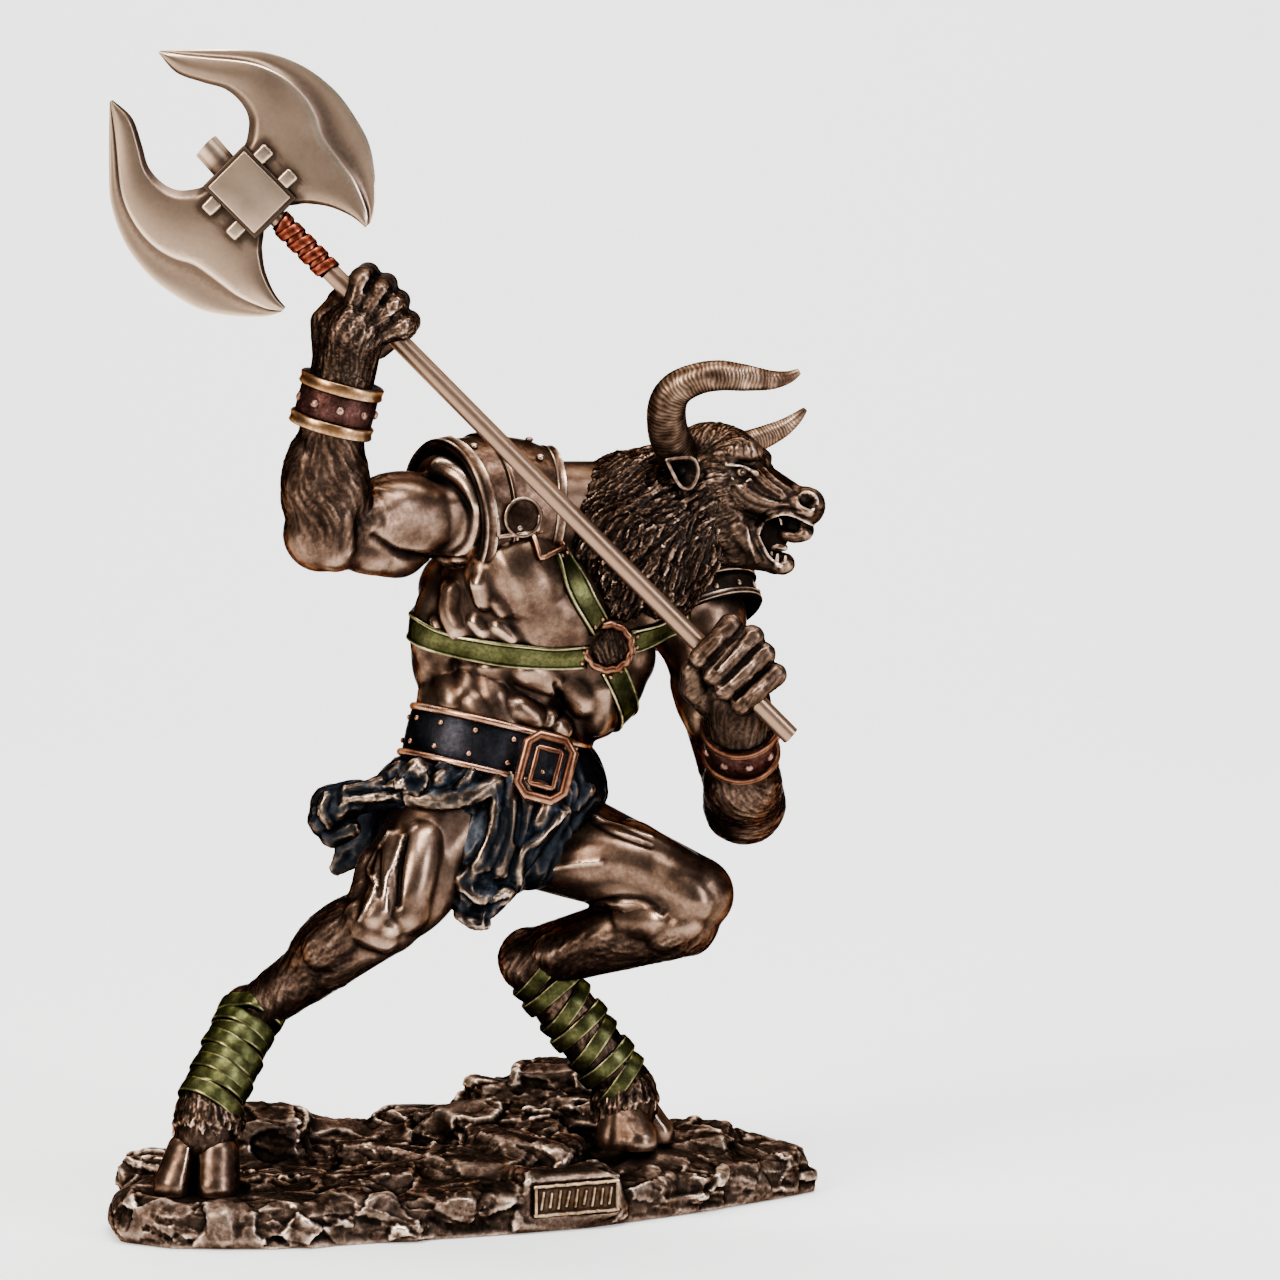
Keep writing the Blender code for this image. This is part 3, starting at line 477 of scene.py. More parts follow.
form = bmesh.new()
ball(form, RIBS, 29, 21, 27, CHEST_UP, CHEST_FRONT)
ball(form, at(31, -3, 137), 14, 15, 18, CHEST_UP, CHEST_FRONT)
ball(form, WAIST, 23.5, 17.5, 18, CHEST_UP, CHEST_FRONT)
ball(form, at(8, -5, 107), 21, 16, 13, UP, Vector((0.57, -0.82, 0.0)))
for side in (-1, 1):
    ball(form, RIBS + (CHEST_FRONT * 12 + CHEST_UP * 7 + CHEST_LEFT * side * 13) * MM, 14, 9, 13, CHEST_UP,
         CHEST_FRONT)
    ball(form, RIBS + (CHEST_LEFT * side * 20.5 - CHEST_UP * 3 - CHEST_FRONT * 4) * MM, 9, 13, 25, CHEST_UP,
         CHEST_FRONT)
    ball(form, RIBS + (CHEST_LEFT * side * 13 + CHEST_UP * 8 - CHEST_FRONT * 14) * MM, 12, 8, 15, CHEST_UP,
         CHEST_FRONT)
    ball(form, RIBS + (CHEST_LEFT * side * 7 - CHEST_UP * 22 - CHEST_FRONT * 11) * MM, 6, 7, 20, CHEST_UP,
         CHEST_FRONT)
limb(form, RIBS + CHEST_UP * 17 * MM, NECK_BASE, 17, 15)
limb(form, HIGH_SHOULDER, NECK_BASE + UP * 4 * MM, 12, 13)
limb(form, LOW_SHOULDER, NECK_BASE, 11, 13)
ball(form, HIGH_SHOULDER, 13.5, 13.5, 14, HIGH_ELBOW - HIGH_SHOULDER)
limb(form, HIGH_SHOULDER, HIGH_ELBOW, 11, 8.5)
muscle(form, HIGH_SHOULDER, HIGH_ELBOW, 0.45, 15, 9.5, 9.5, UP, 2.6)
muscle(form, HIGH_SHOULDER, HIGH_ELBOW, 0.5, 16, 9.5, 8.5, -UP, 4.4)
ball(form, HIGH_ELBOW, 9.4, 9.4, 9.4)
limb(form, HIGH_ELBOW, HIGH_WRIST, 9.5, 7.6)
muscle(form, HIGH_ELBOW, HIGH_WRIST, 0.38, 15, 8.5, 8.5, -LEFT, 2.8)
muscle(form, HIGH_ELBOW, HIGH_WRIST, 0.35, 13, 8, 8, LEFT, 2.6)
ball(form, LOW_SHOULDER, 12.5, 12.5, 13)
limb(form, LOW_SHOULDER, LOW_ELBOW, 11, 8.7)
muscle(form, LOW_SHOULDER, LOW_ELBOW, 0.5, 16, 9, 9, FRONT, 3.0)
ball(form, LOW_ELBOW, 9.2, 9.7, 9.2)
limb(form, LOW_ELBOW, LOW_WRIST, 10.6, 7.9)
muscle(form, LOW_ELBOW, LOW_WRIST, 0.35, 12, 10, 9.5, -UP, 2.0)
body = one_skin("bare_body", form, 0.62, 14)
raise_muscles(body, [
    (11.5, 2.6, (512, 505), (524, 545), (542, 590), (556, 612)), (8.0, 2.2, (575, 590), (580, 622)),
    (8.0, 1.8, (640, 600), (660, 620)), (7.0, 1.6, (625, 640), (650, 655)),
    (9.5, 2.2, (392, 516), (412, 515), (428, 520)), (4.5, 1.5, (432, 462), (462, 474), (478, 500), (478, 528), (462, 556)),
    (4.6, 1.4, (340, 562), (376, 568)), (5.0, 1.4, (392, 570), (436, 574)), (5.0, 1.3, (450, 573), (486, 566)),
    (5.5, 1.4, (430, 590), (420, 612), (418, 640))], 4)
raise_muscles(body, [
    (3.6, 2.0, (450, 592), (448, 612), (456, 630)), (2.8, 1.7, (478, 586), (482, 602)), (1.9, 1.1, (434, 622), (438, 634)),
    (2.3, 1.3, (474, 622), (482, 632)), (2.3, 1.2, (498, 628), (512, 638)), (2.0, 1.0, (496, 604), (502, 614)),
    (4.6, 2.0, (529, 677), (548, 686)), (4.3, 1.9, (571, 692), (582, 704)), (3.8, 1.9, (520, 708), (535, 718)),
    (3.4, 1.8, (552, 720), (564, 729)), (3.2, 1.3, (530, 740), (542, 746)), (2.8, 1.2, (564, 746), (572, 750)),
    (3.6, 1.0, (604, 694), (600, 730)), (3.8, 1.3, (488, 672), (494, 694)), (3.0, 0.9, (466, 666), (462, 690)),
    (3.4, 0.9, (500, 708), (508, 728)), (3.4, 0.9, (444, 676), (450, 700)), (3.2, 0.8, (474, 702), (486, 720)),
    (3.4, 0.7, (424, 664), (422, 690)), (2.8, 0.8, (612, 742), (600, 762)),
    (4.6, 1.2, (672, 690), (690, 722)),
    (2.6, 0.8, (348, 520), (350, 548)), (2.8, 0.9, (440, 462), (466, 478), (480, 505))], 3)
score(body, [(2.0, 0.45, (488, 522), (494, 546), (507, 564), (517, 592), (523, 612)),
             (0.9, -0.8, (420, 473), (452, 486), (469, 512), (466, 540), (452, 556)),
             (1.1, -0.9, (374, 536), (396, 552), (430, 558), (462, 560)),
             (1.4, -0.4, (482, 556), (494, 590), (512, 624), (524, 646)),
             (0.8, -0.5, (452, 662), (500, 664), (540, 664)), (0.8, -0.6, (556, 684), (562, 712), (548, 736))])
points, normals, edges = arrays(body.data)
reach = np.array(HIGH_WRIST - HIGH_ELBOW)
along = (points - np.array(HIGH_ELBOW)) @ reach / (reach @ reach)
aside = np.linalg.norm(points - np.array(HIGH_ELBOW) - along[:, None] * reach, axis=1) / MM
high_arm = np.clip((along + 0.15) / 0.3, 0, 1) * (aside < 20) * np.clip((-15 - points[:, 0] / MM) / 8, 0, 1)
reach = np.array(LOW_WRIST - LOW_ELBOW)
along = (points - np.array(LOW_ELBOW)) @ reach / (reach @ reach)
aside = np.linalg.norm(points - np.array(LOW_ELBOW) - along[:, None] * reach, axis=1) / MM
low_arm = np.clip((along + 0.45) / 0.25, 0, 1) * (aside < 16) * (points[:, 1] < 2 * MM)
lie = [(HIGH_ELBOW, (0.35, -0.2, -1)), (HIGH_WRIST, (0.2, 0, -1)), (at(-36, -40, 190), (-0.5, 0.3, -1)),
       (at(-24, -50, 190), (0.6, 0, -1)), (LOW_ELBOW, (1, 0.3, -0.3)), (LOW_WRIST, (1, 0.5, -0.1)),
       (at(60, -24, 110), (1, -0.2, -0.3)), (at(76, -22, 110), (1, 0.3, 0.35))]
haired = np.maximum(high_arm, low_arm)
fur(body, haired, lie, 0.62, 4.5, 0.2, 0.85)
mark_relief(body, 0.3, 0.9, -0.1 * haired)
SKIN_STOPS = [(0.0, "#060504"), (0.24, "#16100d"), (0.42, "#382a22"), (0.55, "#604a3c"), (0.7, "#9d7f6a"),
              (0.9, "#f4d5ba")]
skin_bronze = bronze("burnished_bronze", SKIN_STOPS, (0.34, 0.18), 0.7, 0.015, 0.2, "#837a74")
dress(body, skin_bronze, "dark_bronze", "minotaur_figure")

# The two fists: short-haired hands closed on the shaft, modelled apart and cast in one with the arms.
form = bmesh.new()
palm = at(-26.5, -45.5, 222)
limb(form, HIGH_WRIST + Vector((0, 0, -3)) * MM, palm, 7.4, 8.2)
knuckles = [at(-23.5, -47, 235.5), at(-19.2, -47, 233), at(-16.2, -47, 229), at(-13.8, -46, 224)]
for knuckle in knuckles:
    limb(form, palm, knuckle, 4.6, 2.7)
    ball(form, knuckle, 3.2, 3.2, 3.2)
    bend = knuckle + Vector((1.0, 9.5, 1.0)) * MM
    limb(form, knuckle, bend, 3.1, 2.9)
    limb(form, bend, bend + Vector((-7.5, 3, -6.5)) * MM, 3.0, 2.8)
run(form, [at(-31, -43, 214), at(-33, -38, 225), at(-28, -34, 231)], [4.8, 3.6, 3.1])
high_hand = one_skin("raised_fist", form, 0.42, 7)
score(high_hand, [(1.6, 0.5, (334, 335), (350, 308), (364, 278)), (1.6, 0.5, (346, 338), (365, 318), (382, 290)),
                  (1.6, 0.5, (356, 342), (377, 325), (396, 304)), (1.5, 0.4, (365, 350), (388, 336), (406, 323)),
                  (0.9, -0.45, (364, 290), (376, 272)), (0.9, -0.45, (380, 302), (392, 288)),
                  (0.9, -0.45, (392, 317), (404, 310)), (1.4, -0.4, (322, 345), (330, 305))])
points, normals, edges = arrays(high_hand.data)
back = np.clip((-38 * MM - points[:, 1]) / (3 * MM), 0, 1) * np.clip((238 - points[:, 2] / MM) / 8, 0.25, 1)
lie = [(at(-30, -52, 210), (0.1, 0, 1)), (at(-24, -48, 236), (0.2, 0, 1)), (at(-14, -47, 224), (1, 0, 0.5)),
       (at(-34, -42, 222), (-0.3, 0, 1))]
fur(high_hand, back, lie, 0.44, 6.5, 0.2, 0.2)
mark_relief(high_hand, 0.24, 1.1, 0.03)
fur_bronze = bronze("furred_bronze", [(0.0, "#040303"), (0.36, "#100c0a"), (0.54, "#2a201a"), (0.68, "#5c4739"),
                                      (0.82, "#a58773"), (0.96, "#f3d9c4")], (0.46, 0.28), 0.5, 0.02, 0.2, "#857a74")
dress(high_hand, fur_bronze, "dark_bronze", "minotaur_figure")

form = bmesh.new()
palm = at(66, -34.5, 136)
limb(form, LOW_WRIST, palm, 8.7, 8.3)
tips = [at(57.5, -44, 144.2), at(60.8, -45, 140.2), at(63.5, -45, 136.6), at(67.4, -44, 133.1)]
tops = [at(64.8, -41, 151.6), at(70.1, -42, 149), at(72.8, -42, 144.9), at(75.5, -41, 139.7)]
for tip, top in zip(tips, tops):
    limb(form, palm, top, 5.0, 2.8)
    middle = tip.lerp(top, 0.5) + Vector((0, -0.8, 0)) * MM
    limb(form, top, middle, 3.1, 2.6)
    limb(form, middle, tip, 2.8, 2.5)
    limb(form, tip, tip + Vector((1.5, 6, -1.0)) * MM, 2.7, 2.4)
run(form, [at(62, -33, 131), at(56, -38, 136), at(55.6, -41, 141)], [4.4, 3.4, 2.8])
low_hand = one_skin("low_fist", form, 0.42, 4)
score(low_hand, [(0.6, -0.4, (716, 668), (744, 633)), (0.6, -0.4, (722, 684), (760, 646)),
                 (0.6, -0.4, (735, 698), (769, 664)), (0.8, 0.3, (709, 652), (722, 638)),
                 (0.8, 0.3, (722, 668), (742, 648)), (0.8, 0.3, (733, 683), (752, 664)),
                 (0.8, 0.3, (748, 698), (764, 684))])
points, normals, edges = arrays(low_hand.data)
lie = [(at(60, -45, 142), (1, 0, 1)), (at(74, -42, 142), (1, 0, 1)), (LOW_WRIST, (0, 0, 1))]
fur(low_hand, np.full(len(points), 0.6), lie, 0.6, 4.0, 0.2, 0.3)
mark_relief(low_hand, 0.28, 0.9, 0.04)
dress(low_hand, fur_bronze, "dark_bronze", "minotaur_figure")

# The legs: a warrior's thighs on a bull's shanks, short-haired below the knee, cast with the figure.
FRONT_HIP = at(-3, -14, 103)
FRONT_KNEE = at(-19.5, -32, 79)
FRONT_HOCK = at(-54.5, -10, 51)
FRONT_FETLOCK = at(-63.5, -26, 31)
REAR_HIP = at(18, 1, 95)
REAR_KNEE = at(57, -15, 82)
REAR_HOCK = at(15, 6, 62)
REAR_FETLOCK = at(39, 9, 29)
FRONT_SOLE = at(-66.5, -30.5, 10.0)
REAR_SOLE = at(42.5, 6.5, 14.5)

form = bmesh.new()
limb(form, FRONT_HIP, FRONT_KNEE, 15.5, 9.5)
muscle(form, FRONT_HIP, FRONT_KNEE, 0.55, 19, 9, 8, LEFT, 5.2)
muscle(form, FRONT_HIP, FRONT_KNEE, 0.5, 20, 9, 8, -LEFT, 4.8)
muscle(form, FRONT_HIP, FRONT_KNEE, 0.55, 19, 9, 8, FRONT, 4.8)
ball(form, FRONT_KNEE, 8.2, 8.7, 9.2)
limb(form, FRONT_KNEE, FRONT_HOCK, 9.5, 6.0)
muscle(form, FRONT_KNEE, FRONT_HOCK, 0.28, 19, 10, 9.5, UP, 1.5)
ball(form, FRONT_HOCK, 7.5, 7.5, 7.5)
limb(form, FRONT_HOCK, FRONT_FETLOCK, 6.9, 7.4)
limb(form, REAR_HIP, REAR_KNEE, 14.5, 9.5)
muscle(form, REAR_HIP, REAR_KNEE, 0.42, 23, 11, 9.5, FRONT, 3.8)
muscle(form, REAR_HIP, REAR_KNEE, 0.5, 22, 11, 9, UP, 2.3)
ball(form, REAR_KNEE, 9.2, 9.2, 9.7)
calf = REAR_KNEE + Vector((-4, 1, -6)) * MM
limb(form, calf, REAR_HOCK, 10.2, 7.5)
muscle(form, calf, REAR_HOCK, 0.4, 20, 9, 8, -UP, 0.5)
ball(form, REAR_HOCK, 8.0, 8.0, 8.5)
limb(form, REAR_HOCK, REAR_FETLOCK, 7.7, 7.2)
for fetlock, sole in ((FRONT_FETLOCK, FRONT_SOLE), (REAR_FETLOCK, REAR_SOLE)):
    limb(form, fetlock, fetlock.lerp(sole, 0.3), 7.4, 7.8)
legs = one_skin("bare_legs", form, 0.6, 12)
raise_muscles(legs, [
    (4.2, 1.6, (392, 842), (384, 880), (372, 918)), (5.2, 2.0, (422, 840), (419, 872), (412, 915)),
    (3.8, 1.4, (366, 850), (356, 890)), (3.6, 1.5, (352, 914), (362, 934), (384, 944)), (3.2, 1.3, (390, 930),),
    (6.0, 1.3, (345, 925), (318, 950)), (4.5, 1.0, (372, 958), (335, 982)),
    (8.0, 1.8, (560, 862), (620, 850), (668, 868)), (5.5, 1.5, (640, 830), (680, 858)), (6.0, 1.6, (672, 880), (690, 905)),
    (5.6, 1.6, (628, 912), (652, 922)), (5.0, 1.2, (600, 930), (548, 950)), (4.0, 1.2, (690, 925), (660, 940))], 3)
score(legs, [(0.6, 0.55, (389, 832), (369, 868), (376, 886), (360, 920)), (0.6, 0.5, (403, 836), (394, 864), (387, 880), (385, 911)),
             (0.7, -0.7, (406, 838), (400, 870), (398, 905)), (0.8, -0.5, (380, 850), (378, 895)),
             (0.6, 0.45, (577, 804), (602, 820), (624, 827), (652, 837)), (0.8, -0.5, (580, 812), (606, 830), (650, 846)),
             (0.9, -0.8, (556, 912), (598, 902), (640, 899), (662, 912)), (0.8, 0.4, (530, 884), (556, 868), (600, 862))])
points, normals, edges = arrays(legs.data)
low_front = np.clip((-22 - points[:, 0] / MM) / 8, 0, 1)
low_rear = (points[:, 0] > -5 * MM) * np.clip((76 - points[:, 2] / MM) / 6, 0, 1)
lie = [(FRONT_KNEE, (-0.8, 0.4, -0.6)), (FRONT_HOCK, (-0.5, -0.2, -1)), (FRONT_FETLOCK, (-0.2, -0.4, -1)),
       (REAR_KNEE, (-0.6, 0.3, -0.8)), (REAR_HOCK, (-0.2, 0.2, -1)), (REAR_FETLOCK, (0.3, 0, -1)),
       (at(35, -5, 70), (-0.9, 0.3, -0.5))]
haired = np.maximum(low_front, low_rear)
fur(legs, haired, lie, 0.6, 3.0, 0.18, 0.6)
# Under the wraps the shanks are painted darker: painted shade in the gaps between the strips.
wrapped = haired * np.clip((50 - points[:, 2] / MM) / 10, 0, 1)
mark_relief(legs, 0.3, 0.9, -0.1 * haired - 0.12 * wrapped)
dress(legs, skin_bronze, "dark_bronze", "minotaur_figure")

# The hooves: horn, smooth and cloven in front, under a fringe of coarse hair. Their soles are glued
# 0.3 mm above the pads of the rock.
def hoof(name, sole, fetlock, toe):
    toe = toe.normalized()
    side = toe.cross(UP)
    form = bmesh.new()
    for half in (-1, 1):
        foot = sole + (side * half * 4.9 + UP * 2.0) * MM
        top = fetlock.lerp(sole, 0.55) + (side * half * 3.7 + toe * 1.0) * MM
        limb(form, top, foot + toe * 2.0 * MM, 5.2, 5.5)
        limb(form, top - toe * 1.0 * MM, foot - toe * 1.0 * MM, 5.4, 5.7)
        limb(form, top - toe * 3.0 * MM, foot - toe * 4.0 * MM, 5.2, 5.3)
    piece = one_skin(name, form, 0.42, 6)
    points, normals, edges = arrays(piece.data)
    reach = points - np.array(sole)
    across = reach @ np.array(side) / MM
    ahead = reach @ np.array(toe) / MM
    height = reach[:, 2] / MM
    split = np.exp(-(across / (0.5 + 0.075 * np.clip(14 - height, 0, 14))) ** 2) * np.clip(ahead / 4, 0, 1)
    points = points - np.array(toe) * (split * 4.0 * MM)[:, None]
    ripple = np.sin(height * 1.6 + solid_noise(points / (4 * MM)) * 2.5) * 0.05 * np.clip((13 - height) / 3, 0, 1)
    points += normals * (ripple * MM)[:, None]
    points[:, 2] = np.maximum(points[:, 2], sole.z + 0.02 * MM)
    move_points(piece, points)
    mark_relief(piece, 0.3, 0.7)
    dress(piece, skin_bronze, "dark_bronze", "minotaur_figure")
    fringe = bmesh.new()
    chance = random.Random(5)
    for number in range(60):
        turn = number / 60 * 2 * math.pi
        out = side * math.cos(turn) + toe * math.sin(turn)
        root = fetlock.lerp(sole, 0.10 * chance.random()) + out * 6.6 * MM
        drop = (UP * -1 + out * 0.32).normalized()
        long = chance.uniform(5.0, 6.4) - 2.0 * max(0.0, out.dot(toe))
        middle = root + drop * long * 0.5 * MM + out * 0.4 * MM
        run(fringe, [root, middle, root + drop * long * MM], [1.5, 1.2, 0.5], detail=2)
    ball(fringe, fetlock.lerp(sole, 0.04), 8.2, 8.0, 6.3, UP, toe)
    hair = one_skin(name + "_fringe", fringe, 0.42, 1)
    points, normals, edges = arrays(hair.data)
    lie = [(fetlock, (0, 0, -1)), (sole, (0.01, 0, -1))]
    fur(hair, np.ones(len(points)), lie, 0.6, 5.0, 0.22, 0.25)
    mark_relief(hair, 0.2, 0.5)
    dress(hair, fur_bronze, "dark_bronze", "minotaur_figure")


hoof("front_hoof", FRONT_SOLE, FRONT_FETLOCK, Vector((-0.1, -1.0, 0.0)))
hoof("rear_hoof", REAR_SOLE, REAR_FETLOCK, Vector((0.9, -0.42, 0.0)))

# The bull's head: wrinkled hide over the skull, a wet-looking muzzle, roaring open jaws with a tongue
# and teeth, set on a thick neck under a mane of wavy locks.
HEAD_FORWARD = Vector((0.93, -0.33, -0.15)).normalized()
HEAD_UP = Vector((0.10, -0.20, 0.97)).normalized()
SKULL = at(61.5, -9, 188)

form = bmesh.new()
ball(form, SKULL, 11.5, 11.0, 12.5, HEAD_FORWARD, HEAD_UP)
limb(form, NECK_BASE + Vector((6, -2, 4)) * MM, at(57, -8, 181), 13, 12)
limb(form, at(67, -12, 184.5), at(82.0, -16.5, 178.2), 9.2, 5.6, 0.85, HEAD_UP)
ball(form, at(84.2, -17, 178.6), 6.0, 4.8, 4.3, HEAD_FORWARD, HEAD_UP)
ball(form, at(81.0, -16.5, 173.0), 5.0, 3.2, 5.0, HEAD_FORWARD, HEAD_UP)
limb(form, at(60, -10, 175), at(76.2, -15.3, 164.9), 8.2, 3.2)
limb(form, at(58, -10, 169.3), at(75.0, -15.0, 165.2), 5.6, 2.9)
ball(form, at(78.0, -15.8, 164.6), 3.4, 2.9, 3.3, HEAD_FORWARD, HEAD_UP)
limb(form, at(60, -12, 176), at(69.5, -14, 171.5), 8.0, 5.8)
for side in (-1, 1):
    brow = at(69, -11, 191.5) + Vector((0.32, 0.90, -0.25)) * side * 5.6 * MM
    ball(form, brow, 4.0, 3.2, 5.2, HEAD_FORWARD, HEAD_UP)
head = one_skin("bull_head", form, 0.31, 14)
raise_muscles(head, [
    (3.4, 1.1, (728, 452), (741, 448), (755, 452), (763, 460)), (1.6, 0.8, (756, 474), (768, 486), (782, 495)),
    (3.0, 0.9, (715, 480), (722, 500), (736, 512)), (2.6, 0.7, (742, 492), (756, 504), (770, 508)),
    (2.2, 0.8, (798, 489), (812, 492), (820, 502)), (1.6, 0.7, (796, 500), (800, 509), (810, 512)),
    (2.0, 0.6, (770, 478), (786, 489)), (2.4, 0.8, (740, 530), (752, 548)), (2.4, 0.7, (720, 540), (738, 558)),
    (1.8, 0.7, (800, 528), (808, 536)), (2.0, 0.7, (778, 568), (788, 566))], 4)
score(head, [
    (1.7, -1.6, (741.5, 473),), (0.6, 0.7, (727, 464), (736, 465.5), (746, 468.5), (757, 474)),
    (0.4, 0.25, (733, 478), (739, 481), (746, 481), (752, 478)), (0.6, -0.35, (752, 477), (764, 488), (778, 497)),
    (0.35, 0.22, (758, 470), (770, 482), (782, 491)), (0.35, 0.2, (764, 468), (778, 481), (792, 490)),
    (0.28, -0.14, (742, 441), (744, 456)), (0.28, -0.15, (749, 443), (752, 457)), (0.28, -0.15, (757, 448), (760, 461)),
    (0.28, -0.14, (735, 443), (734, 456)), (0.3, -0.15, (765, 455), (767, 466)), (0.28, -0.12, (728, 447), (726, 458)),
    (0.5, -0.25, (733, 486), (746, 500), (760, 506), (776, 509)), (0.45, 0.18, (740, 486), (752, 496), (768, 502), (788, 504)),
    (0.4, -0.25, (748, 486), (762, 495), (780, 501)), (0.4, 0.2, (728, 488), (740, 504), (754, 512)),
    (1.25, -2.3, (806, 500), (810, 502)), (0.45, 0.3, (800, 495), (806, 492), (814, 495), (817, 502), (813, 509)),
    (0.5, 0.6, (758, 534), (763, 523), (773, 516), (786, 514), (799, 517.5), (812, 524)),
    (0.5, 0.5, (758, 536), (763, 546), (770, 557), (780, 566)), (0.5, -0.35, (756, 524), (768, 511), (784, 508), (800, 511)),
    (0.5, -0.35, (751, 532), (756, 546), (763, 560)), (0.4, 0.25, (747, 528), (750, 545), (757, 562)),
    (2.0, -2.2, (770, 529), (782, 524), (795, 527)), (1.8, -1.9, (768, 537), (773, 547), (779, 553))])
points, normals, edges = arrays(head.data)
ahead = (points - np.array(SKULL)) @ np.array(HEAD_FORWARD) / MM
furry = np.clip((15.0 - ahead) / 9.0, 0.22, 1)
eye_spot = np.array(seen(skin_of(head), 742, 465))
furry *= np.clip((np.linalg.norm(points - eye_spot, axis=1) / MM - 2.6) / 2.5, 0, 1)
face_lie = [(at(84, -20, 180), (-1, 0, 0.1)), (at(72, -20, 183), (-1, 0, -0.35)), (at(62, -20, 182), (-0.9, -0.1, -0.7)),
            (at(66, -16, 172), (-1, 0, -0.25)), (at(58, -18, 172), (-0.8, 0, -0.9)), (at(76, -17, 165), (-1, 0, 0.1)),
            (at(62, -10, 200), (-0.7, -0.3, 0.2)), (at(70, -12, 196), (-0.6, -0.2, 0.9)), (at(55, -18, 192), (-0.8, -0.3, -0.5)),
            (at(64, 8, 185), (-1, 0.2, -0.4)), (at(78, -8, 176), (-1, 0.1, 0))]
fur(head, furry, face_lie, 0.5, 3.6, 0.24, 0.9)
mark_relief(head, 0.2, 0.8, 0.05)
dress(head, fur_bronze, "dark_bronze", "minotaur_figure")

# Inside the jaws: a near-black rod filling the mouth, painted shadow for the dark of the open jaws, and a raised tongue
# and blunt teeth, polished.
form = bmesh.new()
limb(form, at(63, -11, 176), at(74.8, -14.2, 171.2), 6.6, 4.9, 0.9, FRONT, 3)
mouth = new_piece("mouth_shadow_filler", form)
# This near-black finish is painted shadow.
mouth_shadow_paint = bronze("mouth_shadow_paint", [(0.0, "#030202"), (1.0, "#0f0a08")], (0.6, 0.5))
mark_relief(mouth)
dress(mouth, mouth_shadow_paint, "dark_bronze", "minotaur_figure")
form = bmesh.new()
run(form, [at(68, -12.5, 168.5), at(72.5, -15.0, 168.6), at(76.0, -16.2, 169.2), at(78.3, -16.6, 168.6)], [2.4, 2.3, 2.0, 1.2],
    0.8, UP, 3)
for place, drop, size in ((seen(skin_of(head), 768, 524), -1, 0.62), (seen(skin_of(head), 774, 520), -1, 0.66),
                          (seen(skin_of(head), 781, 518), -1, 0.66), (seen(skin_of(head), 789, 519), -1, 0.72),
                          (seen(skin_of(head), 797, 523), -1, 0.7), (seen(skin_of(head), 767, 549), 1, 0.6),
                          (seen(skin_of(head), 771, 556), 1, 0.6), (seen(skin_of(head), 777, 562), 1, 0.62),
                          (seen(skin_of(head), 785, 564), 1, 0.62)):
    root = place + Vector((0, 1.1, 0)) * MM
    limb(form, root, root + Vector((0.15, -0.2, drop * 1.7)) * MM, size, size * 0.55, detail=3)
tongue = one_skin("tongue_and_teeth", form, 0.2, 1)
mark_relief(tongue, 0.1, 0.3)
horn_bronze = bronze("horn_bronze", [(0.0, "#0c0806"), (0.3, "#2b1f18"), (0.5, "#5f4a3b"), (0.66, "#967a64"),
                                     (0.9, "#ecd2b8")], (0.42, 0.24), 0.6, 0.02, 0.2, "#8c7b70")
dress(tongue, horn_bronze, "dark_bronze", "minotaur_figure")
form = bmesh.new()
eye_at = seen(skin_of(head), 741.5, 472.2)
ball(form, eye_at + Vector((0, 0.6, 0)) * MM, 1.6, 1.6, 1.6, UP, FRONT, 4)
layer = relief_layer(form)
# A painted highlight: a pale spot on the front of the eye inside a dark ring for the pupil; the rest of the eye takes a
# mid tone.
for vert in form.verts:
    gap = (vert.co - eye_at - Vector((0.25, -0.9, 0.1)) * MM).length / MM
    vert[layer] = 0.15 if 0.30 < gap < 0.62 else (0.95 if gap <= 0.30 else 0.6)
eye = new_piece("eye", form)
dress(eye, horn_bronze, "dark_bronze", "minotaur_figure")

# The mane: wavy locks cast on the neck and throat, lying back from the cheeks and down to the chest.
form = bmesh.new()
ball(form, at(43, -6, 171), 20.6, 18.6, 23.6, Vector((20, -2, 13)), FRONT)
limb(form, NECK_BASE, at(56, -8, 180), 16.2, 13.3)
limb(form, at(45, -12, 163), at(38.5, -15, 154.5), 12.0, 5.0)
limb(form, at(57, -13, 172), at(50, -15, 158), 8.5, 7.5)
plain = one_skin("mane_base", form.copy(), 1.2, 6)
skin = skin_of(plain)
bpy.data.objects.remove(plain)
mane_lie = [(at(40, 0, 193), (-1, 0, -0.15)), (at(30, -18, 187), (-1, -0.1, -0.35)), (at(45, -22, 184), (-1, -0.2, -0.45)),
            (at(52, -22, 176), (-0.75, 0, -0.8)), (at(36, -26, 170), (-0.7, 0, -0.8)), (at(40, -25, 155), (-0.3, 0, -1)),
            (at(55, -18, 160), (-0.45, 0, -1)), (at(30, 16, 180), (-1, 0.1, -0.5)), (at(45, 14, 172), (-0.6, 0.2, -1)),
            (at(50, 8, 155), (-0.2, 0.2, -1)), (at(20, 0, 180), (-1, 0, -0.5)), (at(30, -22, 160), (-0.3, 0, -1))]
chance = random.Random(3)
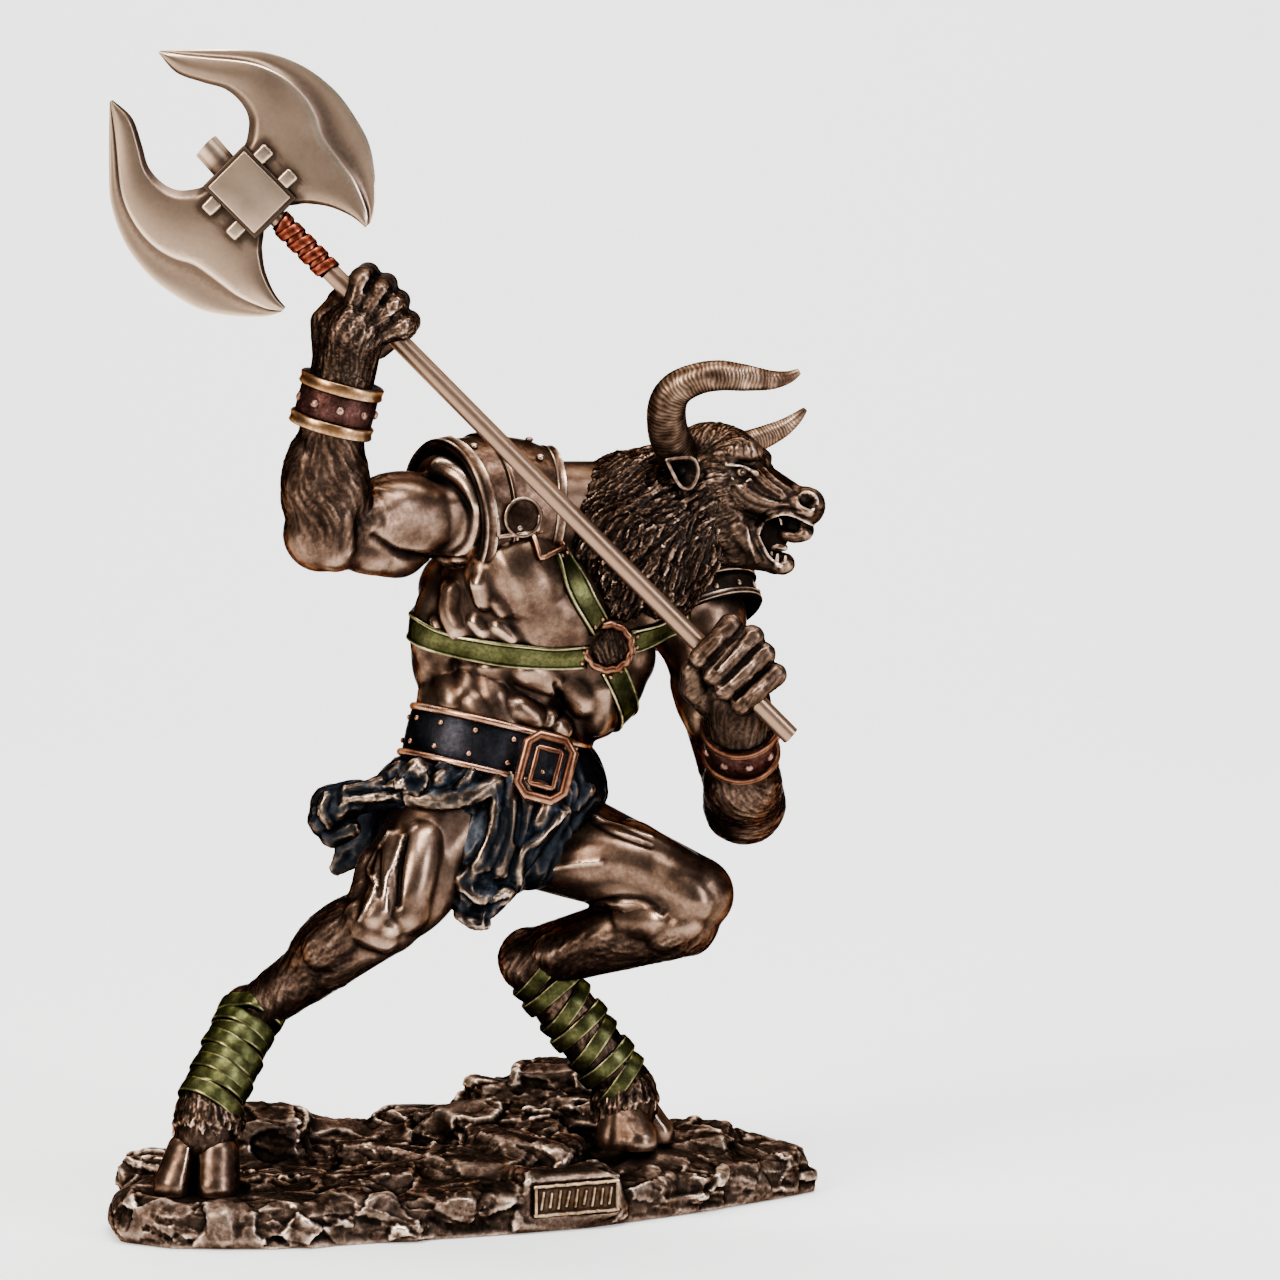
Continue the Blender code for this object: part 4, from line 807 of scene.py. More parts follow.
for number in range(700):
    out = Vector((chance.gauss(0, 1), chance.gauss(0, 1), chance.gauss(0, 1))).normalized()
    spot, normal, _, _ = skin.ray_cast(at(43, -6, 170) + out * 60 * MM, -out)
    if spot is None:
        continue
    length = chance.uniform(4.0, 8.0)
    width = chance.uniform(0.42, 0.8)
    bend = chance.uniform(-0.6, 0.6)
    line = [spot]
    for step in range(4):
        lie = Vector(flow_at(np.array([line[-1]]), mane_lie, 0.5, 6.0)[0])
        lie = (lie - normal * lie.dot(normal)).normalized()
        lie = (lie + normal.cross(lie) * bend * math.sin(step * 1.7 + 0.5)).normalized()
        near, normal, _, _ = skin.find_nearest(line[-1] + lie * length / 4 * MM)
        line.append(near + normal * (0.05 + 0.07 * step) * MM)
    run(form, line, [width, width * 1.1, width * 0.95, width * 0.65, width * 0.25], 0.75, normal, 1)
mane = one_skin("mane", form, 0.32, 1)
points, normals, edges = arrays(mane.data)
locks = strands(points, normals, mane_lie, 1.9, 7.0, 0.8, 4)
fine = strands(points, normals, mane_lie, 0.5, 4.5, 0.7, 3)
points = points + normals * (((np.abs(locks) - 0.4) * 1.0 + (0.45 - np.abs(fine)) * 0.4) * MM)[:, None]
move_points(mane, points)
mark_relief(mane, 0.26, 1.0, -0.04)
dress(mane, fur_bronze, "dark_bronze", "minotaur_figure")


# The horns: real horns' rings worn smooth towards the tips, cast with the head.
def swept(form, line, radii, rings=0.0, pitch=0.9, sides=30, steps=34):
    """A round tube along a smooth line, ringed by shallow, uneven growth ridges."""
    layer = relief_layer(form)
    count = (len(line) - 1) * steps
    spine = [Vector(curve_at([tuple(place) for place in line], index / count)) for index in range(count + 1)]
    out = UP
    loops = []
    travelled = 0.0
    for index, centre in enumerate(spine):
        ahead = (spine[min(index + 1, count)] - spine[max(index - 1, 0)]).normalized()
        out = (out - ahead * out.dot(ahead)).normalized()
        across = ahead.cross(out)
        travelled += (centre - spine[max(index - 1, 0)]).length / MM
        place = index / count * (len(radii) - 1)
        start = min(int(place), len(radii) - 2)
        size = radii[start] + (radii[start + 1] - radii[start]) * (place - start)
        fade = min(1.0, (1 - index / count) * 3)
        loop = []
        for side in range(sides):
            turn = side / sides * 2 * math.pi
            way = out * math.cos(turn) + across * math.sin(turn)
            drift = noise.noise((centre + way * size * MM) / (2.4 * MM))
            ridge = math.sin((travelled / pitch + drift * 0.7) * 2 * math.pi)
            vert = form.verts.new(centre + way * (size + rings * fade * ridge * (0.7 + drift)) * MM)
            vert[layer] = 0.37 + 0.13 * min(1.0, 2.2 * index / count) + fade * 0.1 * ridge + drift * 0.24
            loop.append(vert)
        loops.append(loop)
    for low, high in zip(loops[:-1], loops[1:]):
        for side in range(sides):
            form.faces.new((low[side], low[(side + 1) % sides], high[(side + 1) % sides], high[side]))
    form.faces.new(loops[0][::-1])
    form.faces.new(loops[-1])


form = bmesh.new()
swept(form, [at(*place) for place in ((53.0, -14, 190.5), (50, -21, 197), (49.6, -26, 204), (52, -28, 208.3),
                                     (57, -29, 210.8), (62.5, -29, 211.6), (68.5, -28, 211), (74.7, -27, 210.4),
                                     (79, -26, 211), (81.9, -26, 212.5))],
      [5.3, 5.0, 4.7, 4.3, 3.9, 3.75, 3.3, 2.4, 1.6, 0.7], 0.07)
swept(form, [at(*place) for place in ((63, 1, 191), (67, 7, 191.5), (72, 10, 193.2), (76.1, 11.5, 194.8),
                                     (79.4, 12, 196.5), (82.4, 12, 198.8), (84.5, 11.5, 201))],
      [4.6, 3.8, 3.1, 2.7, 2.2, 1.5, 0.6], 0.06)
horns = new_piece("horns", form)
dress(horns, horn_bronze, "dark_bronze", "minotaur_figure")

# The ears: cupped leaves with a rolled rim, dark inside, one behind each horn.
form = bmesh.new()
for corner, spots, out in ((at(53.5, -23.0, 187.2), [(-4.2, 3.5), (-0.6, 4.0), (2.7, 3.5), (3.7, 0.2), (2.0, -3.3), (-0.6, -3.0), (-2.6, 0.2), (-4.2, 3.5)],
                            Vector((0.2, -0.95, 0.15))),
                           (at(61, 11.0, 184.5), [(-4.2, 3.0), (-0.8, 3.6), (2.4, 3.0), (3.2, 0.0), (1.6, -3.0), (-0.8, -2.8), (-2.6, 0.0), (-4.2, 3.0)],
                            Vector((0.5, 0.85, 0.1)))):
    axes = axes_along(UP, out)
    flip = -1 if out.y > 0 else 1
    rim = [corner + axes @ Vector((-x * flip, 0.6, z)) * MM for x, z in spots]
    line = [Vector(curve_at([tuple(place) for place in rim], step / 42)) for step in range(43)]
    middle = sum(line[:-1], Vector()) / 42
    run(form, line[::2], [0.55] * 22, detail=2)
    for place in line[:-1:2]:
        limb(form, place, middle.lerp(place, 0.3) - axes.col[1] * 2.8 * MM, 0.5, 0.9, detail=2)
    limb(form, middle - axes.col[1] * 4.0 * MM, corner.lerp(SKULL, 0.45), 2.4, 3.2, detail=3)
ears = one_skin("ears", form, 0.3, 3)
mark_relief(ears, 0.1, 0.5, -0.1)
dress(ears, fur_bronze, "dark_bronze", "minotaur_figure")

# The loincloth: coarse cloth knotted at the hip and hanging in deep folds, stained blue-black.
form = bmesh.new()
limb(form, at(4, -5, 109), at(-4, -6, 98), 22.5, 20, 0.9)
limb(form, at(16, -5, 106), at(14, -8, 96), 19, 14, 0.95)
ball(form, at(-3, -14.5, 109), 20, 16.8, 9.5, UP, FRONT)
run(form, [at(-8, -22, 108), at(-18, -22, 108), at(-27, -20, 107)], [5.5, 3.6, 4.2])
run(form, [at(-27, -20, 107), at(-33, -18, 104.5), at(-35, -17, 101)], [4.6, 5.6, 4.4])
run(form, [at(-35, -17, 101), at(-33, -17, 96.5), at(-28, -20, 99)], [3.6, 3.0, 2.2])
run(form, [at(9, -24, 106), at(5, -27, 94), at(1, -28, 84)], [8.5, 8.0, 5.5], 0.6)
run(form, [at(-4, -27, 84), at(3, -28, 78.5), at(8, -27, 83), at(9, -25, 90)], [2.6, 3.0, 2.8, 2.2])
run(form, [at(-20, 2, 102), at(-28, 3, 92), at(-33, 3, 86)], [8, 6, 2.5], 0.5)
run(form, [at(-16, 6, 100), at(-26, 8, 96), at(-33, 8, 95)], [6, 4, 1.6], 0.5)
run(form, [at(20, -22, 104), at(14, -24, 94), at(8, -25, 86)], [5, 4.5, 3.5])
chance = random.Random(21)
knot = at(-12.5, -31.0, 113.0)
for petal in range(9):
    turn = petal / 9 * 2 * math.pi
    spot = knot + Vector((math.cos(turn) * 3.0, -0.6, math.sin(turn) * 2.6)) * MM
    limb(form, knot, spot, 1.3, chance.uniform(1.1, 1.7), detail=3)
cloth = one_skin("loincloth", form, 0.52, 7)
raise_muscles(cloth, [
    (2.9, 2.0, (412, 797), (443, 802), (470, 796), (497, 783)), (2.3, 1.6, (497, 790), (492, 830), (480, 862), (462, 884)),
    (1.9, 1.4, (505, 812), (499, 842), (487, 864)), (2.4, 1.5, (509, 762), (511, 800), (509, 840), (500, 872)),
    (2.0, 1.3, (527, 780), (528, 806), (521, 842)), (1.5, 1.5, (566, 810), (541, 836), (522, 853), (517, 884)),
    (2.6, 1.8, (460, 880), (475, 898), (500, 896), (516, 886)), (1.5, 1.3, (458, 914), (477, 925), (503, 918), (516, 902)),
    (3.2, 1.4, (410, 745), (396, 768), (376, 785)), (3.0, 1.3, (430, 745), (418, 766)), (2.6, 1.2, (452, 752), (440, 778)),
    (2.4, 1.3, (478, 762), (462, 786)), (2.0, 1.1, (548, 800), (540, 822)), (1.8, 1.2, (590, 790), (578, 806)),
    (1.7, 0.9, (400, 784), (372, 786), (346, 790)), (1.6, 0.9, (396, 796), (366, 797), (344, 797)),
    (1.4, 0.8, (326, 796), (322, 812), (330, 826)), (1.4, 0.8, (346, 800), (340, 818))], 2)
score(cloth, [(0.8, -1.0, (405, 806), (443, 813), (478, 806)), (0.6, -0.6, (402, 790), (372, 791), (350, 794)),
              (0.7, -0.8, (488, 800), (484, 835), (470, 862)), (0.6, -0.6, (519, 770), (519, 800), (515, 840)),
              (0.6, 0.4, (420, 760), (404, 776)), (0.5, -0.4, (440, 760), (424, 774)), (0.8, -0.9, (463, 896), (480, 909), (508, 900)),
              (0.5, -0.5, (468, 768), (452, 784)), (0.5, 0.35, (536, 770), (536, 800))])
points, normals, edges = arrays(cloth.data)
creases = strands(points, normals, [(at(0, -28, 100), (0.1, 0, -1)), (at(-10, -25, 112), (-0.8, 0, -0.6)), (at(-28, -18, 106), (-1, 0, -0.1)),
                                    (at(20, 0, 95), (0, 0.2, -1)), (at(0, 20, 100), (0, 0, -1)), (at(-25, 5, 95), (-0.6, 0, -0.8))], 2.6, 14.0, 0.25, 9)
points += normals * ((0.45 - np.abs(creases)) * 0.55 * MM)[:, None]
PELVIS_FRONT = Vector((0.57, -0.82, 0.0)).normalized()
belt_up = Vector((0.27, 0.10, 0.96)).normalized()
belt_centre = at(6.6, -6, 117.0)
reach = (points - np.array(belt_centre)) / MM
height = reach @ np.array(belt_up)
flat = reach - height[:, None] * np.array(belt_up)
belt_left = belt_up.cross(PELVIS_FRONT).normalized()
share = np.hypot(flat @ np.array(belt_left) / 23.2, flat @ np.array(PELVIS_FRONT) / 20.2)
tuck = np.clip((height + 8.2) / 1.4, 0, 1) * np.clip(1 - 0.94 / np.maximum(share, 0.94), 0, 1)
tuck *= np.clip(-(flat @ np.array(PELVIS_FRONT)) / 5, 0, 1)
move_points(cloth, points - flat * tuck[:, None] * MM)
mark_relief(cloth, 0.25, 0.7, -0.06)
cloth_bronze = bronze("stained_cloth_bronze", [(0.0, "#050506"), (0.34, "#0f1216"), (0.52, "#22252a"), (0.66, "#423830"),
                                               (0.82, "#7a6454"), (0.98, "#d8b99f")], (0.4, 0.24), 0.5, 0.04, 0.3, "#666e78")
dress(cloth, cloth_bronze, "dark_bronze", "minotaur_figure")


# The belt: a broad studded leather belt with piped edges and a heavy eight-sided buckle.
def band(form, centres, outs, profile, closed=False):
    """Sweeps a closed profile along a line laid on a surface. Each place is across, out and relief."""
    layer = relief_layer(form)
    count = len(centres)
    loops = []
    for index in range(count):
        before = centres[index - 1] if index or closed else centres[0]
        after = centres[(index + 1) % count] if index < count - 1 or closed else centres[-1]
        ahead = (after - before).normalized()
        out = (outs[index] - ahead * outs[index].dot(ahead)).normalized()
        across = ahead.cross(out)
        loops.append([form.verts.new(centres[index] + (across * a + out * b) * MM) for a, b, _ in profile])
        for vert, (_, _, relief_and_painted_light) in zip(loops[-1], profile):
            vert[layer] = relief_and_painted_light
    pairs = list(zip(loops[:-1], loops[1:])) + ([(loops[-1], loops[0])] if closed else [])
    size = len(profile)
    for low, high in pairs:
        for side in range(size):
            form.faces.new((low[side], high[side], high[(side + 1) % size], low[(side + 1) % size]))
    if not closed:
        form.faces.new(loops[0])
        form.faces.new(loops[-1][::-1])


def rivet(form, place, out, radius=0.7):
    """A domed rivet head, dark at its foot."""
    layer = relief_layer(form)
    for vert in ball(form, place, radius, radius * 0.7, radius, out.cross(UP) + Vector((0.01, 0, 0)), out, 2):
        vert[layer] = 0.62 + 0.3 * (vert.co - place).dot(out) / (radius * MM)


def bar(radius, sides=10, relief_and_painted_light=0.62):
    """The profile of a round bar."""
    turns = [side / sides * 2 * math.pi for side in range(sides)]
    return [(math.cos(turn) * radius, math.sin(turn) * radius, relief_and_painted_light + 0.2 * math.sin(turn)) for turn in turns]


def hoop(centre, up, front, left_size, front_size, count=72):
    """Points and outward directions round an oval."""
    left = up.cross(front).normalized()
    turns = [number / count * 2 * math.pi for number in range(count)]
    centres = [centre + (left * math.cos(turn) * left_size + front * math.sin(turn) * front_size) * MM for turn in turns]
    outs = [(left * math.cos(turn) / left_size + front * math.sin(turn) / front_size).normalized() for turn in turns]
    return centres, outs


centres, outs = hoop(belt_centre, belt_up, PELVIS_FRONT, 23.2, 20.2)
form = bmesh.new()
band(form, centres, outs, [(-6.2, -3, 0.2), (-6.2, -0.1, 0.3), (-4.4, 0.1, 0.42), (-3, 0.15, 0.5), (0, 0.25, 0.52),
                           (3, 0.15, 0.5), (4.4, 0.1, 0.42), (6.2, -0.1, 0.3), (6.2, -3, 0.2)], True)
belt = new_piece("belt", form)
form = bmesh.new()
for edge in (-5.9, 5.9):
    shifted = [centre + belt_up * edge * MM for centre in centres]
    band(form, shifted, outs, bar(1.0), True)
for number in range(2, 72, 5):
    rivet(form, centres[number] + (outs[number] * 0.3 + belt_up * 3.0) * MM, outs[number], 0.75)
    rivet(form, centres[number] + (outs[number] * 0.3 - belt_up * 3.0) * MM, outs[number], 0.75)
trim = new_piece("belt_trim", form)
belt_leather = bronze("blue_black_leather", [(0.0, "#050506"), (0.4, "#131418"), (0.6, "#2e2d31"), (0.9, "#7d6f66")],
                      (0.44, 0.28), 0.5, 0.05, 0.35, "#5d636b")
copper = bronze("burnished_copper", [(0.0, "#120906"), (0.35, "#3a2217"), (0.55, "#664230"), (0.72, "#97694f"), (0.94, "#efc3a4")],
                (0.38, 0.22), 0.7, 0.03, 0.34, "#927a70")
dress(belt, belt_leather, "dark_bronze", "minotaur_figure")
dress(trim, copper, "red_copper", "minotaur_figure")

form = bmesh.new()
buckle_axes = axes_along(Vector((0.25, 0.2, 0.95)), FRONT)
buckle_centre = at(19.8, -27.6, 115.2)


def frame_ring(form, centre, axes, half_width, half_height, corner, radius):
    """A bent bar closed into an eight-sided frame."""
    shape = [(half_width, half_height - corner), (half_width - corner, half_height), (-half_width + corner, half_height),
             (-half_width, half_height - corner), (-half_width, -half_height + corner),
             (-half_width + corner, -half_height), (half_width - corner, -half_height), (half_width, -half_height + corner)]
    centres = [centre + axes @ Vector((x, 0, z)) * MM for x, z in shape]
    outs = [(axes @ Vector((x, 0, z))).normalized() for x, z in shape]
    band(form, centres, outs, bar(radius, 12), True)


frame_ring(form, buckle_centre + axes_along(Vector((0.25, 0.2, 0.95)), FRONT).col[1] * 2.2 * MM, buckle_axes, 5.7, 7.6, 2.5, 1.3)
frame_ring(form, buckle_centre + buckle_axes.col[1] * 2.0 * MM, buckle_axes, 3.0, 4.6, 0.3, 0.75)
buckle = new_piece("buckle", form)
dress(buckle, copper, "red_copper", "minotaur_figure")


# The harness: flat olive leather straps with sewn edges, riveted round a ring over the breastbone.
def strap_profile(width, thick=0.75, edge=0.3):
    """Half of a strap's section: flat, with a raised sewn line inside each edge. Sizes in mm."""
    half = width / 2
    left = [(-half, -1.6, 0.1), (-half, thick * 0.6, 0.35), (-half + 0.3, thick + edge, 0.85),
            (-half + 0.7, thick + edge, 0.75), (-half + 0.95, thick, 0.25), (-half + 1.4, thick, 0.5), (0, thick, 0.56)]
    return left + [(-across, out, relief_and_painted_light) for across, out, relief_and_painted_light in left[-2::-1]]


def laid(skin, route, step=1.5, rounds=3, lift=0.0):
    """Points and outward directions of a strap laid along a route on a skin."""
    places = []
    for start, end in zip(route[:-1], route[1:]):
        count = max(1, round((end - start).length / MM / step))
        places += [start.lerp(end, number / count) for number in range(count)]
    places.append(route[-1])
    found = [skin.find_nearest(place) for place in places]
    centres = [hit[0] for hit in found]
    outs = [hit[1] for hit in found]
    for _ in range(rounds):
        for row in (centres, outs):
            row[1:-1] = [(row[i - 1] + row[i] * 2 + row[i + 1]) / 4 for i in range(1, len(row) - 1)]
    outs = [out.normalized() for out in outs]
    return [centre + out * lift * MM for centre, out in zip(centres, outs)], outs


body_skin = skin_of(body)
ring_place, ring_out, _, _ = body_skin.find_nearest(seen(body_skin, 608, 646))
strap_routes = [
    [seen(body_skin, 559, 550), seen(body_skin, 570, 573), seen(body_skin, 584, 602), seen(body_skin, 599, 628)],
    [seen(body_skin, 587, 656), seen(body_skin, 540, 657), seen(body_skin, 480, 650), seen(body_skin, 425, 637),
     at(-13, -14, 148), at(-20, 0, 150), at(-8, 26, 155), at(18, 32, 152), at(44, 26, 148), at(62, 14, 142)],
    [seen(body_skin, 630, 642), seen(body_skin, 655, 634), seen(body_skin, 690, 620)],
    [seen(body_skin, 612, 668), seen(body_skin, 622, 690), seen(body_skin, 628, 712), at(34, 8, 122)]]
form = bmesh.new()
studs = bmesh.new()
for number, route in enumerate(strap_routes):
    centres, outs = laid(body_skin, route, 1.5, 6, 0.1)
    band(form, centres, outs, strap_profile(6.6), False)
    ends = [1, -2] if number in (0, 2) else [1]
    for end in ends:
        ahead = (centres[end] - centres[end - 1 if end > 0 else end + 1]).normalized()
        aside = ahead.cross(outs[end])
        for way in (-1, 1):
            rivet(studs, centres[end] + (aside * way * 1.5 + outs[end] * 0.9) * MM, outs[end], 0.55)
straps = new_piece("harness_straps", form)
olive = bronze("olive_gilt_leather", [(0.0, "#080805"), (0.3, "#1c1d0f"), (0.5, "#3c3d22"), (0.64, "#5f5a36"),
                                      (0.92, "#d2be92")], (0.34, 0.22), 0.7, 0.03, 0.4, "#787d66")
dress(straps, olive, "antique_bronze", "minotaur_figure")
stud_piece = new_piece("harness_rivets", studs)
dress(stud_piece, copper, "red_copper", "minotaur_figure")

form = bmesh.new()
centres, outs = hoop(ring_place + ring_out * 1.7 * MM, ring_out, ring_out.cross(LEFT).normalized(), 5.7, 5.7, 60)
twist = []
for number, (centre, out) in enumerate(zip(centres, outs)):
    twist.append(centre + (out * 0.18 * math.sin(number * 1.25) + ring_out * 0.12 * math.cos(number * 1.25)) * MM)
band(form, twist, outs, bar(1.0), True)
dring = [seen(body_skin, 531, 536), seen(body_skin, 539, 560), seen(body_skin, 561, 549), seen(body_skin, 553, 528)]
centres, outs = laid(body_skin, dring + [dring[0]], 0.8, 1, 1.1)
band(form, centres, outs, bar(0.75), False)
ring_piece = new_piece("harness_rings", form)
dress(ring_piece, copper, "red_copper", "minotaur_figure")
form = bmesh.new()
ball(form, ring_place + ring_out * 0.5 * MM, 5.3, 1.5, 5.3, LEFT, ring_out, 5)
boss = one_skin("harness_boss", form, 0.3, 2)
points, normals, edges = arrays(boss.data)
fur(boss, np.ones(len(points)), [(ring_place, (0.3, 0, -1)), (ring_place + LEFT * 5 * MM, (0.6, 0, -1))], 0.5, 3.0, 0.25, 0.5)
mark_relief(boss, 0.3, 0.9)
dress(boss, fur_bronze, "dark_bronze", "minotaur_figure")


# The shoulder guards: on the raised arm two beaten plates with rolled, riveted rims and a strap lug,
# on the low arm three dark lames with studded edges.
def arc_plate(form, hoops, first, last, steps=44, thick=1.3):
    """A curved plate lofted through arcs. Each hoop is a centre, an axis, an up direction and a radius."""
    layer = relief_layer(form)
    layers = []
    for inner in (0.0, thick):
        rows = []
        for centre, axis, up, radius in hoops:
            axis = axis.normalized()
            out = (up - axis * up.dot(axis)).normalized()
            side = axis.cross(out)
            turns = [math.radians(first + (last - first) * step / steps) for step in range(steps + 1)]
            rows.append([form.verts.new(centre + (out * math.cos(turn) + side * math.sin(turn)) * (radius - inner) * MM)
                         for turn in turns])
            for vert in rows[-1]:
                vert[layer] = 0.15 if inner else 0.52
        layers.append(rows)
    outer, inside = layers
    for rows, flip in ((outer, False), (inside, True)):
        for low, high in zip(rows[:-1], rows[1:]):
            for step in range(steps):
                quad = (low[step], low[step + 1], high[step + 1], high[step])
                form.faces.new(quad[::-1] if flip else quad)
    for row in (0, -1):
        for step in range(steps):
            form.faces.new((outer[row][step], outer[row][step + 1], inside[row][step + 1], inside[row][step]))
    for step in (0, -1):
        for low in range(len(outer) - 1):
            form.faces.new((outer[low][step], outer[low + 1][step], inside[low + 1][step], inside[low][step]))
    bmesh.ops.recalc_face_normals(form, faces=form.faces)


def arc_line(hoop_data, first, last, steps=44, lift=0.0):
    """Points and outward directions along one arc of a plate."""
    centre, axis, up, radius = hoop_data
    axis = axis.normalized()
    out = (up - axis * up.dot(axis)).normalized()
    side = axis.cross(out)
    turns = [math.radians(first + (last - first) * step / steps) for step in range(steps + 1)]
    outs = [out * math.cos(turn) + side * math.sin(turn) for turn in turns]
    return [centre + one * (radius + lift) * MM for one in outs], outs


arm_axis = Vector((0.81, 0.58, 0.10))
guard_hoops = [(at(-3.5, -18, 177.5), Vector((0.81, 0.58, 0.1)), UP, 17.3), (at(-0.5, -16, 178), Vector((0.82, 0.56, 0.1)), UP, 17.5),
               (at(4, -14, 178.5), Vector((0.86, 0.50, 0.05)), UP, 17.6), (at(9, -12, 178.5), Vector((0.9, 0.42, 0)), UP, 17.3),
               (at(14, -10.5, 178), Vector((0.92, 0.36, -0.05)), UP, 16.8), (at(18.5, -9, 177), Vector((0.93, 0.33, -0.1)), UP, 15.6)]
form = bmesh.new()
arc_plate(form, guard_hoops, -115, 128)
lip = [(-1.9, -0.9, 0.2), (-1.9, 0.5, 0.6), (-1.5, 0.9, 0.85), (-0.7, 0.7, 0.6), (0.6, 0.5, 0.5), (1.3, 0.8, 0.8),
       (1.8, 0.5, 0.5), (1.95, 0.05, 0.1), (2.6, 0.02, 0.35), (2.6, -0.9, 0.3)]
centres, outs = arc_line(guard_hoops[0], -115, 128, 60, 0.3)
band(form, centres, outs, lip, False)
centres, outs = arc_line(guard_hoops[-1], -115, 128, 60, 0.1)
band(form, centres, outs, [(a * 0.7, b * 0.8, r) for a, b, r in lip], False)
centres, outs = arc_line(guard_hoops[2], -115, 128, 60, 0.1)
band(form, centres, outs, [(a * 0.35, b * 0.7, r) for a, b, r in lip], False)
for index, turns in ((1, (-85, -50, -12, 25)), (4, (-95, -62, -28, 8, 40))):
    for turn in turns:
        centres, outs = arc_line(guard_hoops[index], turn, turn + 1, 1, 0.3)
        rivet(form, centres[0], outs[0], 1.05)
bmesh.ops.recalc_face_normals(form, faces=form.faces)
guard = new_piece("raised_shoulder_guard", form)
guard.data.set_sharp_from_angle(angle=math.radians(50))
plate_bronze = bronze("beaten_plate_bronze", [(0.0, "#090605"), (0.3, "#1f1611"), (0.5, "#46342a"), (0.62, "#735a49"),
                                              (0.9, "#efd4ba")], (0.38, 0.2), 0.9, 0.04, 0.34, "#84756c")
dress(guard, plate_bronze, "dark_bronze", "minotaur_figure")

# The lug of the raised guard: a riveted half-round tab that the harness's bracket hangs from.
guard_skin = skin_of(guard)
tab_place = seen(guard_skin, 522, 517)
tab_out = guard_skin.find_nearest(tab_place)[1]
tab_up = (UP + LEFT * -0.35 - tab_out * (UP + LEFT * -0.35).dot(tab_out)).normalized()
form = bmesh.new()
ball(form, tab_place + tab_out * 0.1 * MM, 4.8, 0.9, 4.8, tab_up, tab_out, 5)
layer = relief_layer(form)
for vert in form.verts:
    vert[layer] = 0.36
centres, outs = hoop(tab_place + tab_out * 0.7 * MM, tab_out, tab_up, 4.6, 4.6, 48)
band(form, centres, outs, bar(0.5), True)
tab_side = tab_up.cross(tab_out)
for start, end in (((-5.0, 0.0), (-2.6, -4.8)), ((-2.6, -4.8), (7.4, -2.4)), ((7.4, -2.4), (6.2, 2.6))):
    spots = [tab_place + (tab_side * -(start[0] + (end[0] - start[0]) * share) + tab_up * (start[1] + (end[1] - start[1]) * share)
                          + tab_out * 0.5) * MM for share in (0.0, 0.33, 0.66, 1.0)]
    band(form, spots, [tab_out] * 4, bar(0.6), False)
rivet(form, tab_place + (tab_side * -1.6 - tab_up * 2.2 + tab_out * 0.9) * MM, tab_out, 0.8)
bmesh.ops.recalc_face_normals(form, faces=form.faces)
tab = new_piece("guard_lug", form)
dress(tab, plate_bronze, "dark_bronze", "minotaur_figure")

form = bmesh.new()
low_centre = at(57.5, 5, 151.5)
low_axis = Vector((-0.35, 0.40, 0.85))
for first, last, radius in ((18, 58, 16.6), (50, 80, 16.2), (72, 102, 15.6)):
    hoops = []
    for step in range(5):
        tilt = math.radians(first + (last - first) * step / 4)
        axis = low_axis.normalized()
        hoops.append((low_centre + axis * math.cos(tilt) * radius * MM, axis, FRONT, math.sin(tilt) * radius))
    arc_plate(form, hoops, -165, 165, 52, 1.0)
    centres, outs = arc_line(hoops[-1], -165, 165, 70, 0.15)
    band(form, centres, outs, [(a * 0.42, b * 0.7, r) for a, b, r in lip], False)
    for turn in range(-100, 101, 25):
        spots, ways = arc_line(hoops[3], turn, turn + 1, 1, 0.3)
        rivet(form, spots[0], ways[0], 0.75)
bmesh.ops.recalc_face_normals(form, faces=form.faces)
low_guard = new_piece("low_shoulder_guard", form)
low_guard.data.set_sharp_from_angle(angle=math.radians(50))
lame_bronze = bronze("dark_lame_bronze", [(0.0, "#070606"), (0.36, "#191513"), (0.55, "#3d322b"), (0.7, "#8a705e"),
                                          (0.9, "#e0c3a8")], (0.46, 0.28), 0.6, 0.04, 0.3, "#70757a")
dress(low_guard, lame_bronze, "dark_bronze", "minotaur_figure")


# The bracers and the shank wraps: studded leather between gilt bands, and strips wound over the hair.
def girdle(skin, centre, axis, lift=0.3, count=56, most=12.0):
    """Points and outward directions where a loop lies on a limb, found from inside it."""
    axis = axis.normalized()
    across = axis.cross(FRONT).normalized()
    front = across.cross(axis)
    outs = []
    spans = []
    for number in range(count):
        turn = number / count * 2 * math.pi
        out = across * math.cos(turn) + front * math.sin(turn)
        hit = skin.ray_cast(centre, out, most * MM)
        spans.append((hit[0] - centre).length if hit[0] else most * MM * 0.8)
        outs.append(out)
    for _ in range(4):
        spans = [(spans[i - 1] + spans[i] * 2 + spans[(i + 1) % count]) / 4 for i in range(count)]
    return [centre + out * (span + lift * MM) for out, span in zip(outs, spans)], outs


